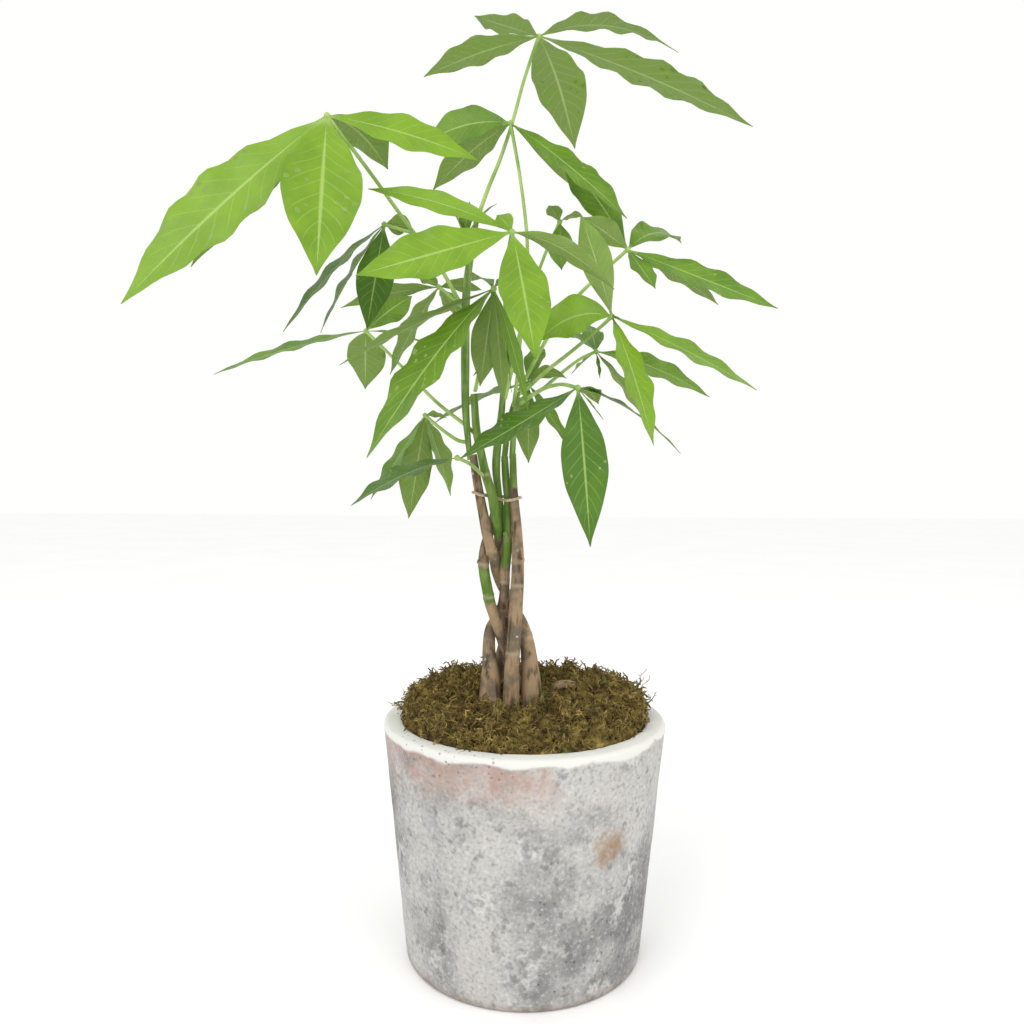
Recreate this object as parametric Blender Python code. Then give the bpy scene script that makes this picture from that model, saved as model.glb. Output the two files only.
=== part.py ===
"""Potted money tree: five braided stems with green shoots and palmate leaves, in a tapered pot.

The origin is the middle of the pot's base, +Z is up, and the plant faces -Y.
Sizes are in millimetres until mesh_object turns them into metres.
"""

import math
from collections import namedtuple

import bpy
from mathutils import Matrix, Vector, noise

MM = 0.001
GAP = 0.35

# Pot: a turned, thick-walled, tapered pot with a solid base.
POT_HEIGHT = 167.8
POT_TOP_RADIUS = 100.0
POT_BASE_RADIUS = 83.8
POT_WALL = 14.0
POT_FLOOR = 15.0
RIM_ROUND = 3.0
FOOT_ROUND = 2.5
POT_SEGMENTS = 44

# Soil up to SOIL_TOP, moss above it, heaped a little above the rim.
SOIL_TOP = 150.0
MOSS_RIM = 166.5
MOSS_HEAP = 18.0
MOSS_LUMP = 2.6
MOSS_LUMP_SIZE = 21.0
MOSS_SMALL_LUMPS = 0.45
MOSS_SLOPE = 2.6
MOSS_EDGE_RISE = 5.0
MOSS_RINGS = 8
MOSS_SEGMENTS = 34

# Leaves
BLADE_THICKNESS = 0.9
BLADE_FOLD = 0.12
BLADE_WIDEST = 0.52
STALK_WIDTH = 1.5
TIP_WIDTH = 0.7
HUB_RADIUS = 2.0
LEAFLET_START = 0.45
PETIOLE_RADIUS = 0.9
SMALL_LEAFLET = 45.0

STEM_SIDES = 10
SHOOT_SIDES = 8
SHARP_ANGLE = 50
BLADE_TAPER = 0.4
BLADE_SWELL = 1.25
SOCKET_TOP = 225.0
PETIOLE_SIDES = 5

Leaflet = namedtuple("Leaflet", "reach arch width roll")
Leaf = namedtuple("Leaf", "petiole hub leaflets")

BARK = ((0.34, 0.26, 0.18), 0.85)
GREEN_BARK = ((0.24, 0.34, 0.10), 0.6)
SHOOT = ((0.25, 0.42, 0.10), 0.5)
LEAF = ((0.20, 0.42, 0.06), 0.4)
RAFFIA = ((0.72, 0.62, 0.46), 0.8)
MOSS = ((0.28, 0.22, 0.10), 0.95)
SOIL = ((0.10, 0.07, 0.05), 0.95)
POT = ((0.62, 0.61, 0.59), 0.9)

# Braided stems, from the top down: x, y, z and radius at each point.
STEMS = {
    "stem_left": (BARK, [
        (-37.4, -2, 354, 2.7), (-34.5, -3, 336, 3.1), (-32.7, -3, 326, 3.3), (-30.1, -3, 313, 3.6),
        (-27.2, -6.5, 299, 3.8), (-24.4, -7, 288, 3.8), (-22, 0, 279, 3.7), (-20.5, 6.5, 270, 3.7),
        (-17, 10.5, 260, 3.8), (-12.3, 10, 252, 3.9), (-7.9, 8, 243, 4.1), (-2, 5, 232, 4.5),
        (2, 2, 218, 5.3), (3.9, 0, 201, 6.5), (4.7, -2, 186, 7.4), (4.9, -2, 168, 7.6), (4.9, -2, 138, 5.5)]),
    "stem_outer": (BARK, [
        (-22.5, 13, 313, 2.9), (-25, 8, 302, 3.4), (-28.6, 3.5, 289, 3.7), (-29.9, 3.4, 279, 3.8),
        (-29.2, 0.8, 270, 3.8), (-27.4, -1, 261, 3.9), (-24.9, -2, 249, 4.0), (-21.6, -3, 239, 4.0),
        (-18.4, -1, 229, 4.1), (-15.6, 2, 220, 4.1), (-12, 8, 206, 4.4), (-9.3, 11.5, 197, 4.8),
        (-7.2, 12.5, 186, 5.6), (-6.6, 13, 170, 6.2), (-6.6, 13, 138, 5)]),
    "stem_inner": (GREEN_BARK, [
        (-15.2, 3, 353, 2.4), (-14.1, 2, 336, 2.7), (-12.6, 2, 322, 2.9), (-12.8, 1.5, 311, 3.3),
        (-12.8, -1.5, 290, 3.5), (-14.2, -1, 272, 3.5), (-14.6, -1, 258, 3.5), (-16.1, 2, 247, 3.6),
        (-20.1, 6.5, 237, 3.8), (-24.8, 6, 228, 4.1), (-25.7, 2, 215, 4.6), (-24.8, -1, 204, 5.6),
        (-24.4, -3, 193, 7.2), (-24.8, -5, 176, 8.3), (-24.8, -5, 160, 7.5), (-24.8, -5, 138, 5.5)]),
    "stem_green": (GREEN_BARK, [
        (-36.8, -3, 396.5, 2.5), (-34.8, -5, 371, 2.8), (-31.2, -7, 354, 2.9), (-28, -7, 340, 3.1),
        (-23.7, -7, 326, 3.4), (-21.9, -6, 315, 3.4), (-19.8, -2.5, 302, 3.3), (-18.8, 5.8, 288, 3.2),
        (-17, 11.5, 278, 3.3), (-16.4, 16.5, 269, 3.5), (-15.5, 19.5, 260, 3.7), (-13.9, 20, 240, 3.9),
        (-13.6, 19.5, 226, 4.0), (-16.2, 19.5, 211, 4.3), (-20, 19, 196, 4.9), (-21.8, 19, 184, 5.5),
        (-21.8, 19, 168, 5.8), (-21.8, 19, 138, 5)]),
    "stem_front": (BARK, [
        (-9.3, -1, 355, 2.3), (-8.7, -2.4, 336, 2.6), (-7.8, -3.5, 322, 3.0), (-6.5, -4, 304, 3.8),
        (-5.5, -5, 290, 4.1), (-5.1, -6, 278, 4.3), (-5.4, -7, 262, 4.6), (-6.3, -8, 248, 4.9),
        (-7.1, -8, 230, 4.9), (-8.2, -8, 216, 5.0), (-9.0, -9, 202, 5.3), (-9.3, -9.5, 188, 5.7),
        (-9.3, -10, 170, 5.7), (-9.3, -10, 138, 4.6)]),
}

# Green shoots, from the bottom up.
SHOOTS = {
    "shoot_centre": [
        (-16, 9.5, 300, 2.0), (-17, 8.5, 311, 2.2), (-19, 5.5, 325, 2.4), (-21, 4, 340, 2.8),
        (-21, 3, 353, 2.9), (-19, 2, 372, 2.6), (-17, 0, 389, 2.3), (-16, -2, 407, 2.0), (-15, -3, 428, 1.7)],
    "shoot_tall": [
        (-40.3, -2, 358, 2.0), (-42, -2, 375, 2.4), (-43, -2, 393, 2.8), (-43.2, -1, 414, 3.0),
        (-43.2, 0, 435, 3.0), (-43, 0, 456, 2.9), (-42, 0, 477, 2.8), (-39, 0, 498, 2.3), (-35.5, 0, 519, 1.8)],
    "shoot_mid": [
        (-14.8, 3, 356.5, 2.1), (-13, 4, 372, 2.1), (-10, 5, 386, 2.0), (-6.5, 6, 397, 1.8)],
    "shoot_right": [
        (-9.4, -1.5, 358, 2.1), (-8.6, -2.5, 372, 2.1), (-7, -3, 386, 2.0), (-4.5, -4, 394.5, 1.8)],
}

# Raffia tie: a closed loop that passes behind the green stem and in front of the others.
TIE_RADIUS = 0.85
TIE = [
    (-37.3, -4.0, 327.5), (-36.3, 0.3, 327), (-31.5, 2.6, 326), (-25, 7.5, 325), (-19, 9.3, 324.5),
    (-12, 6.6, 324), (-5.8, 1.9, 324), (-3.4, -3.2, 324), (-5.4, -7.0, 323.5), (-9, -8.3, 322.5),
    (-13.5, -5.5, 322), (-18, -2.4, 322.5), (-22.2, -1.4, 324), (-26.0, -3.2, 325), (-28.6, -5.9, 325.3),
    (-31.5, -7.9, 325.8), (-35.2, -7.2, 327)]

ROOT_PIECE = [(19, 11, 182, 2.8), (25, 10, 186.5, 3.3), (33, 8, 188, 2.9), (43, 4, 186, 2.0)]

# Palmate leaves. reach runs from the hub to a leaflet's tip, arch lifts the middle of its midrib,
# and roll turns the blade about the midrib, in degrees.
LEAVES = {
    "leaf_crown": Leaf(
        [(-34.3, 0, 521.5), (-28, 0, 539), (-19, 0, 561), (-10.5, 3, 588), (-3, 2, 615)], (7, 0, 644), [
            Leaflet((-83, 30, -14), 3, 28, 10),
            Leaflet((-40, -70, -22), 0, 22, 10),
            Leaflet((87, -55, -37), 12, 30, 0),
            Leaflet((160, 45, -44), 4, 38, 0),
            Leaflet((31, 100, -40), 10, 40, 0)]),
    "leaf_upper_middle": Leaf(
        [(-15, -6.2, 393), (-7, -12, 427), (-1, -16, 460), (0, -16, 499), (-5, -13, 542)], (-12, -10, 581), [
            Leaflet((-62, 15, -9), 6, 28, -75),
            Leaflet((-58, 45, -31), 4, 26, 15),
            Leaflet((77, -30, -73), 3, 30, 30),
            Leaflet((65, 55, -40), 4, 12, -60)]),
    "leaf_left_large": Leaf(
        [(-47.2, -2, 461), (-62, -25, 485), (-76, -45, 500), (-98, -75, 527)], (-120, -90, 554), [
            Leaflet((-109, -35, -118), 4, 44, -60),
            Leaflet((-96, 35, -81), 8, 28, 15),
            Leaflet((4, -45, -104), 4, 46, -10),
            Leaflet((29, 45, -16), 7, 34, -5),
            Leaflet((89, 15, -21), 3, 26, 65)]),
    "leaf_front_upper": Leaf(
        [(-15, -5, 430.5), (-14, -50, 453), (-12, -85, 470)], (-9, -100, 483), [
            Leaflet((-88, -20, -30), 0, 32, -68),
            Leaflet((-88, 20, 31), 4, 16, -60),
            Leaflet((14, -30, -78), 2, 30, 10),
            Leaflet((62, 20, -29), 7, 14, -35),
            Leaflet((-9, 6, 11), 1, 12, -50)]),
    "leaf_left_inner": Leaf(
        [(-46, -2.5, 489), (-54, -12, 495), (-72, -28, 500)], (-94, -40, 504), [
            Leaflet((-60, -25, -74), 5, 22, -15),
            Leaflet((-41, -5, -71), 4, 28, -15),
            Leaflet((-7, -25, -72), 0, 24, -25),
            Leaflet((17, 10, 0), 1, 15, -50)]),
    "leaf_left_back": Leaf(
        [(-36.2, -0.6, 369), (-43, 6, 375), (-67, 20, 394), (-95, 38, 422)], (-123, 50, 449), [
            Leaflet((-115, -5, -34), 3, 24, -25),
            Leaflet((-6, 30, -41), 4, 32, 20),
            Leaflet((50, 0, -12), 3, 16, 15),
            Leaflet((30, 40, 34), 2, 24, 50)]),
    "leaf_left_middle": Leaf(
        [(-44.2, 4.2, 458), (-51, 9, 464)], (-64, 20, 476), [
            Leaflet((-69, -10, -17), 3, 18, 25),
            Leaflet((-15, 8, 9), 1, 13, -35),
            Leaflet((-37, 10, -62), 4, 30, 0),
            Leaflet((31, -4, -3), 2, 14, -30),
            Leaflet((16, 25, -22), 2, 20, 5)]),
    "leaf_front_middle": Leaf(
        [(-35.8, -4.5, 399), (-28, -45, 422), (-24, -72, 436)], (-20, -90, 452), [
            Leaflet((-71, -30, -102), 6, 42, -20),
            Leaflet((-96, 15, -44), 2, 20, 0),
            Leaflet((-15, 30, 11), 4, 14, 10),
            Leaflet((9, 4, 8), 1, 10, 10),
            Leaflet((21, -5, -72), 4, 12, 30),
            Leaflet((-9, 20, -56), 0, 20, 30),
            Leaflet((11, 5, -61), 2, 12, 20),
            Leaflet((6, 15, -68), 2, 12, -10)]),
    "leaf_young_upper": Leaf(
        [(-9.0, 1.3, 388), (-6, -1, 412), (-3, 3, 445), (10, 10, 490)], (23, 10, 520), [
            Leaflet((-8, -10, 8), 1, 13, 5),
            Leaflet((1, -15, -37), 0, 18, 20),
            Leaflet((17, 15, 8), 2, 9, -25)]),
    "leaf_right_upper": Leaf(
        [(-5.2, 4.8, 399.5), (16, 0, 439), (34, -5, 463), (53, -15, 480)], (68, -20, 493), [
            Leaflet((-31, -15, 17), 1, 18, 45),
            Leaflet((-43, 30, 67), 7, 26, -50),
            Leaflet((-22, 20, 11), 4, 13, -25),
            Leaflet((44, 45, 16), 9, 30, 30),
            Leaflet((99, -10, -41), 0, 28, 45),
            Leaflet((16, -20, -30), 0, 18, 10),
            Leaflet((68, 30, -31), 3, 26, 0)]),
    "leaf_right_middle": Leaf(
        [(-3.2, -5.5, 397), (13, -25, 410), (29, -42, 421), (45, -56, 433)], (54, -60, 441), [
            Leaflet((-21, -10, 60), 3, 20, 50),
            Leaflet((-47, 15, -14), 8, 30, -70),
            Leaflet((92, 0, -46), 2, 26, 32),
            Leaflet((23, -30, -82), 4, 30, -10),
            Leaflet((5, -8, -3), 0, 7, -20)]),
    "leaf_right_back": Leaf(
        [(-2.9, 6.2, 394.5), (10, 4, 400), (24, 20, 413), (40, 42, 427)], (53, 50, 434), [
            Leaflet((-2, 40, 26), 1, 17, 0),
            Leaflet((-34, 0, 16), 4, 20, -25),
            Leaflet((-18, 10, -16), 1, 18, -20),
            Leaflet((3, 0, -20), 0, 8, 25),
            Leaflet((86, 0, -34), 5, 28, 40),
            Leaflet((44, 15, -57), 2, 22, 5)]),
    "leaf_front_lower": Leaf(
        [(-3.6, -7.2, 390), (9, -40, 396), (21, -70, 397)], (31, -90, 393), [
            Leaflet((-69, -20, -43), -1, 32, -20),
            Leaflet((7, -20, -94), 4, 28, 15),
            Leaflet((70, 45, -38), 7, 16, 25),
            Leaflet((14, 20, -8), 3, 15, 0),
            Leaflet((15, -5, -19), 0, 7, -10)]),
    "leaf_middle_lower": Leaf(
        [(-6.0, 9.6, 397), (-3, 13, 402)], (1, 15, 406), [
            Leaflet((-73, 20, -30), 4, 28, -20),
            Leaflet((-39, -2, 5), 13, 20, 25),
            Leaflet((10, 25, 30), 4, 16, 0),
            Leaflet((1, 5, -57), 0, 20, -35),
            Leaflet((32, -5, -48), 1, 16, 25),
            Leaflet((27, -15, 2), 6, 13, -35)]),
    "leaf_left_lower": Leaf(
        [(-42.5, 2.0, 363), (-50, 7, 365), (-63, 15, 374)], (-74, 20, 383), [
            Leaflet((-38, -10, -61), -1, 24, -15),
            Leaflet((-14, 15, -76), 0, 26, 15),
            Leaflet((17, 20, -59), 4, 28, 15),
            Leaflet((16, -4, -2), 1, 12, -20)]),
    "leaf_left_lowest": Leaf(
        [(-30.6, -10.4, 340), (-37, -35, 347)], (-44, -60, 351), [
            Leaflet((-63, -25, -30), 4, 32, -10)]),
    "leaf_apex": Leaf(
        [(-42.7, -2.6, 496)], (-43.5, -6.5, 504), [
            Leaflet((3, 5, 26), 1, 13, 0),
            Leaflet((-8, 3, 19), 1, 9, 20),
            Leaflet((22, -4, 22), 3, 4, 0)]),
}


def clear_scene():
    """Remove whatever the file holds, so that the part is all there is."""
    for item in list(bpy.data.objects):
        bpy.data.objects.remove(item, do_unlink=True)


def finish(name, look):
    """A Principled material of one colour and roughness."""
    colour, roughness = look
    material = bpy.data.materials.new(name)
    material.use_nodes = True
    shader = material.node_tree.nodes["Principled BSDF"]
    shader.inputs["Base Color"].default_value = (*colour, 1.0)
    shader.inputs["Roughness"].default_value = roughness
    material.diffuse_color = (*colour, 1.0)
    return material


def mesh_object(name, points, faces, look):
    """An object in the scene, from points in millimetres."""
    mesh = bpy.data.meshes.new(name)
    mesh.from_pydata([Vector(point) * MM for point in points], [], faces)
    mesh.update()
    mesh.shade_smooth()
    mesh.set_sharp_from_angle(angle=math.radians(SHARP_ANGLE))
    mesh.materials.append(finish(name, look))
    item = bpy.data.objects.new(name, mesh)
    bpy.context.scene.collection.objects.link(item)
    return item


def combine(base, others, operation):
    """Join others to base, or cut them from it, and keep only base."""
    for other in others:
        step = base.modifiers.new(other.name, "BOOLEAN")
        step.operation = operation
        step.object = other
    solid = base.evaluated_get(bpy.context.evaluated_depsgraph_get())
    mesh = bpy.data.meshes.new_from_object(solid)
    base.modifiers.clear()
    base.data = mesh
    for other in others:
        bpy.data.objects.remove(other, do_unlink=True)
    return base


def smooth_path(points, steps, closed=False):
    """Points on the smooth curve through the given ones; extra values, such as a radius, follow along."""
    count = len(points)
    size = len(points[0])
    path = []
    for index in range(count if closed else count - 1):
        if closed:
            a, b, c, d = (points[(index + k) % count] for k in (-1, 0, 1, 2))
        else:
            b, c = points[index], points[index + 1]
            a = points[index - 1] if index else tuple(2 * b[k] - c[k] for k in range(size))
            last = index + 2 == count
            d = tuple(2 * c[k] - b[k] for k in range(size)) if last else points[index + 2]
        for step in range(steps):
            t = step / steps
            path.append(tuple(
                0.5 * (2 * b[k] + (c[k] - a[k]) * t + (2 * a[k] - 5 * b[k] + 4 * c[k] - d[k]) * t * t
                       + (3 * b[k] - a[k] - 3 * c[k] + d[k]) * t ** 3)
                for k in range(size)))
    if not closed:
        path.append(tuple(points[-1]))
    return path


def tube(path, sides, closed=False, extra=0.0):
    """Points and faces of a round tube along a path of x, y, z and radius."""
    centres = [Vector(point[:3]) for point in path]
    count = len(centres)
    points = []
    side = None
    for index, centre in enumerate(centres):
        if closed:
            along = centres[(index + 1) % count] - centres[index - 1]
        else:
            along = centres[min(index + 1, count - 1)] - centres[max(index - 1, 0)]
        along.normalize()
        if side is None:
            side = along.orthogonal()
        side = (side - along * side.dot(along)).normalized()
        up = along.cross(side)
        radius = path[index][3] + extra
        for k in range(sides):
            angle = 2 * math.pi * k / sides
            points.append(centre + (side * math.cos(angle) + up * math.sin(angle)) * radius)
    faces = []
    for index in range(count if closed else count - 1):
        low, high = index * sides, (index + 1) % count * sides
        for k in range(sides):
            after = (k + 1) % sides
            faces.append((low + k, low + after, high + after, high + k))
    if not closed:
        faces.append(tuple(reversed(range(sides))))
        faces.append(tuple(range((count - 1) * sides, count * sides)))
    return points, faces


def blade_width(t, width):
    """Width of a leaflet at t, from its short stalk at 0 to its drawn-out tip at 1."""
    swell = math.sin(math.pi * t ** (math.log(0.5) / math.log(BLADE_WIDEST))) ** BLADE_SWELL
    floor = STALK_WIDTH + (TIP_WIDTH - STALK_WIDTH) * t
    return max(width * swell, floor)


def leaflet_body(hub, leaflet):
    """Points and faces of one thin, slightly folded leaflet that starts inside the hub."""
    reach = Vector(leaflet.reach)
    if reach.length < SMALL_LEAFLET:
        stations = (0.0, 0.12, 0.35, 0.6, 0.84, 1.0)
    else:
        stations = (0.0, 0.07, 0.22, 0.42, 0.64, 0.84, 1.0)
    points = []
    start = Vector(hub) + reach.normalized() * LEAFLET_START
    for t in stations:
        centre = start + reach * t + Vector((0, 0, 4 * leaflet.arch * t * (1 - t)))
        along = (reach + Vector((0, 0, 4 * leaflet.arch * (1 - 2 * t)))).normalized()
        side = along.cross(Vector((0, 0, 1))).normalized()
        turn = Matrix.Rotation(math.radians(leaflet.roll), 3, along)
        side = turn @ side
        normal = side.cross(along)
        half = blade_width(t, leaflet.width) / 2
        thick = BLADE_THICKNESS / 2 * (1 - BLADE_TAPER * t)
        lift = normal * (BLADE_FOLD * half)
        points += [centre - side * half + lift, centre + normal * thick,
                   centre + side * half + lift, centre - normal * thick]
    faces = []
    for ring in range(len(stations) - 1):
        low, high = 4 * ring, 4 * ring + 4
        for k in range(4):
            after = (k + 1) % 4
            faces.append((low + k, low + after, high + after, high + k))
    faces.append((3, 2, 1, 0))
    end = 4 * (len(stations) - 1)
    faces.append((end, end + 1, end + 2, end + 3))
    return points, faces


def ball(centre, radius, sides=8, rings=5):
    """Points and faces of a closed ball."""
    points = [Vector(centre) + Vector((0, 0, -radius))]
    for ring in range(1, rings):
        polar = math.pi * ring / rings
        for k in range(sides):
            angle = 2 * math.pi * k / sides
            points.append(Vector(centre) + radius * Vector(
                (math.sin(polar) * math.cos(angle), math.sin(polar) * math.sin(angle), -math.cos(polar))))
    points.append(Vector(centre) + Vector((0, 0, radius)))
    top = len(points) - 1
    faces = []
    for k in range(sides):
        after = (k + 1) % sides
        faces.append((0, 1 + after, 1 + k))
        for ring in range(rings - 2):
            low, high = 1 + ring * sides, 1 + (ring + 1) * sides
            faces.append((low + k, low + after, high + after, high + k))
        last = 1 + (rings - 2) * sides
        faces.append((last + k, last + after, top))
    return points, faces


def make_leaf(name, leaf):
    """One palmate leaf: petiole, hub and leaflets as a single body."""
    route = [(*point, PETIOLE_RADIUS) for point in (*leaf.petiole, leaf.hub)]
    parts = [mesh_object(f"{name}_petiole", *tube(smooth_path(route, 2), PETIOLE_SIDES), LEAF)]
    for index, leaflet in enumerate(leaf.leaflets):
        parts.append(mesh_object(f"{name}_{index}", *leaflet_body(leaf.hub, leaflet), LEAF))
    hub = mesh_object(name, *ball(leaf.hub, HUB_RADIUS), LEAF)
    return combine(hub, parts, "UNION")


def lathe(profile, segments):
    """Points and faces of a closed turned body, from a profile that starts and ends on the axis."""
    points = [(0, 0, profile[0][1])]
    rings = profile[1:-1]
    for radius, height in rings:
        for k in range(segments):
            angle = 2 * math.pi * k / segments
            points.append((radius * math.cos(angle), radius * math.sin(angle), height))
    points.append((0, 0, profile[-1][1]))
    end = len(points) - 1
    last = 1 + (len(rings) - 1) * segments
    faces = []
    for k in range(segments):
        after = (k + 1) % segments
        faces.append((0, 1 + after, 1 + k))
        for ring in range(len(rings) - 1):
            low, high = 1 + ring * segments, 1 + (ring + 1) * segments
            faces.append((low + k, low + after, high + after, high + k))
        faces.append((last + k, last + after, end))
    return points, faces


def wall_radius(height):
    """Outer radius of the pot at a height."""
    return POT_BASE_RADIUS + (POT_TOP_RADIUS - POT_BASE_RADIUS) * height / POT_HEIGHT


def rounded(centre_radius, centre_height, radius, start, stop, steps=3):
    """Profile points on an arc, between two angles in degrees."""
    angles = [math.radians(start + (stop - start) * k / steps) for k in range(steps + 1)]
    return [(centre_radius + radius * math.cos(a), centre_height + radius * math.sin(a)) for a in angles]


def make_pot():
    """The pot, open at the top, with a rounded rim and foot."""
    inner_top = POT_TOP_RADIUS - POT_WALL
    inner_floor = wall_radius(POT_FLOOR) - POT_WALL
    profile = [(0, 0)]
    profile += rounded(POT_BASE_RADIUS - FOOT_ROUND, FOOT_ROUND, FOOT_ROUND, -90, 0)
    profile += rounded(POT_TOP_RADIUS - RIM_ROUND, POT_HEIGHT - RIM_ROUND, RIM_ROUND, 0, 90)
    profile += rounded(inner_top + RIM_ROUND, POT_HEIGHT - RIM_ROUND, RIM_ROUND, 90, 180)
    profile += [(inner_floor, POT_FLOOR), (0, POT_FLOOR)]
    return mesh_object("pot", *lathe(profile, POT_SEGMENTS), POT)


def fill_radius(height):
    """Radius that fills the pot's inside at a height, with a gap to the wall."""
    share = (height - POT_FLOOR) / (POT_HEIGHT - RIM_ROUND - POT_FLOOR)
    floor_radius = wall_radius(POT_FLOOR) - POT_WALL
    return floor_radius + (POT_TOP_RADIUS - POT_WALL - floor_radius) * min(share, 1.0) - 2 * GAP


def make_soil():
    """The soil and root ball, with pockets that the stems stand in."""
    low, high = POT_FLOOR + GAP, SOIL_TOP
    profile = [(0, low), (fill_radius(low), low), (fill_radius(high), high), (0, high)]
    soil = mesh_object("soil", *lathe(profile, POT_SEGMENTS), SOIL)
    return combine(soil, stem_cutters(), "DIFFERENCE")


def moss_height(x, y):
    """Top of the moss: flush with the rim in front, fuller at the back, heaped round the stems."""
    share = min(math.hypot(x, y) / fill_radius(POT_HEIGHT), 1.0)
    heap = MOSS_HEAP * (1 - share ** MOSS_SLOPE)
    back = MOSS_EDGE_RISE * share * (0.5 + 0.5 * y / fill_radius(POT_HEIGHT))
    sides = MOSS_EDGE_RISE * share * abs(x) / fill_radius(POT_HEIGHT)
    lumps = noise.noise(Vector((x, y, 0)) / MOSS_LUMP_SIZE)
    lumps += 0.5 * noise.noise(Vector((x, y, 40)) / (MOSS_SMALL_LUMPS * MOSS_LUMP_SIZE))
    return MOSS_RIM + heap + back + sides + MOSS_LUMP * lumps


def make_moss():
    """The lumpy moss, a closed cushion with holes for the stems and a bed for the piece of root."""
    radius = fill_radius(POT_HEIGHT)
    bottom = SOIL_TOP + GAP
    points = [(0, 0, bottom)]
    for k in range(MOSS_SEGMENTS):
        angle = 2 * math.pi * k / MOSS_SEGMENTS
        low = fill_radius(bottom)
        points.append((low * math.cos(angle), low * math.sin(angle), bottom))
    for ring in range(MOSS_RINGS, 0, -1):
        for k in range(MOSS_SEGMENTS):
            angle = 2 * math.pi * k / MOSS_SEGMENTS
            x, y = (radius * ring / MOSS_RINGS * f(angle) for f in (math.cos, math.sin))
            points.append((x, y, moss_height(x, y)))
    points.append((0, 0, moss_height(0, 0)))
    top = len(points) - 1
    faces = []
    for k in range(MOSS_SEGMENTS):
        after = (k + 1) % MOSS_SEGMENTS
        faces.append((0, 1 + after, 1 + k))
        for ring in range(MOSS_RINGS):
            low, high = 1 + ring * MOSS_SEGMENTS, 1 + (ring + 1) * MOSS_SEGMENTS
            faces.append((low + k, low + after, high + after, high + k))
        last = 1 + MOSS_RINGS * MOSS_SEGMENTS
        faces.append((last + k, last + after, top))
    moss = mesh_object("moss", points, faces, MOSS)
    first, *_, last = ROOT_PIECE
    bed = [(first[0] - 2, first[1], first[2] - 2, first[3]), *smooth_path(ROOT_PIECE, 3), (last[0] + 2, *last[1:])]
    root = mesh_object("root_cutter", *tube(bed, SHOOT_SIDES, extra=2 * GAP), MOSS)
    return combine(moss, [*stem_cutters(), root], "DIFFERENCE")


def stem_cutters():
    """The buried ends of the stems, a gap wider than the stems themselves."""
    cutters = []
    for name, (_, route) in STEMS.items():
        buried = [point for point in smooth_path(route, 2) if point[2] < SOCKET_TOP]
        end = (*buried[-1][:2], buried[-1][2] - 2 * GAP, buried[-1][3])
        cutters.append(mesh_object(f"{name}_cutter", *tube([*buried, end], STEM_SIDES, extra=2 * GAP), SOIL))
    return cutters


def make_stems():
    """Five braided stems and the green shoots above them."""
    for name, (look, route) in STEMS.items():
        mesh_object(name, *tube(smooth_path(route, 2), STEM_SIDES), look)
    for name, route in SHOOTS.items():
        mesh_object(name, *tube(smooth_path(route, 2), SHOOT_SIDES), SHOOT)
    mesh_object("root_piece", *tube(smooth_path(ROOT_PIECE, 3), SHOOT_SIDES), BARK)


def make_tie():
    """The raffia loop that holds the braid."""
    route = [(*point, TIE_RADIUS) for point in TIE]
    mesh_object("tie", *tube(smooth_path(route, 3, closed=True), PETIOLE_SIDES, closed=True), RAFFIA)


def main():
    clear_scene()
    make_pot()
    make_soil()
    make_moss()
    make_stems()
    make_tie()
    for name, leaf in LEAVES.items():
        make_leaf(name, leaf)


main()
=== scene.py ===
"""Looks of the potted money tree: bark, green shoots, palmate leaves, moss and a whitewashed pot."""

import logging
import math
import random
from dataclasses import dataclass, field
from enum import Enum
from typing import Callable, NamedTuple, Sequence

import bpy
import numpy as np
from mathutils import Matrix, Vector, noise


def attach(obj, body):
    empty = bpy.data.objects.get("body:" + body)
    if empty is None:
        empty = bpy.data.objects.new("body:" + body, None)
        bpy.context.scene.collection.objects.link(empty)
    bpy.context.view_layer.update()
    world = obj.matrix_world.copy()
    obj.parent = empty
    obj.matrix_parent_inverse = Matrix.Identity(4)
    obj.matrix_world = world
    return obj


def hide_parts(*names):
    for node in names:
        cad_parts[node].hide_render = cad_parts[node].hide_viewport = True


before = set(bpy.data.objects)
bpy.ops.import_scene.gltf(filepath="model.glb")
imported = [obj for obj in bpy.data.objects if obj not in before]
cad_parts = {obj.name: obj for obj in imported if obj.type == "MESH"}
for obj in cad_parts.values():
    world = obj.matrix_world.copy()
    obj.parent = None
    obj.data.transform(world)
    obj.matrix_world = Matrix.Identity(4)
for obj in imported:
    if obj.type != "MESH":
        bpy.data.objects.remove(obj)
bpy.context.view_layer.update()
LOG = logging.getLogger("money_tree")
MM = 0.001
BODY = "root"

Colour = tuple[float, float, float]
Path = Sequence[tuple[float, ...]]
Socket = bpy.types.NodeSocket


class Leaflet(NamedTuple):
    """One leaflet: reach from hub to tip, arch and width in millimetres, roll in degrees."""

    reach: tuple[float, float, float]
    arch: float
    width: float
    roll: float


class Leaf(NamedTuple):
    """One palmate leaf: the petiole's route to the hub, and the leaflets on the hub."""

    petiole: list[tuple[float, float, float]]
    hub: tuple[float, float, float]
    leaflets: list[Leaflet]


class PaintedLeafLight(Enum):
    """Painted light and shade on a whole leaf: a lit leaf is painted bright, a leaf shaded by others dark.
    """

    BRIGHT = 1.0
    MIDDLE = 0.5
    DARK = 0.0


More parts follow.
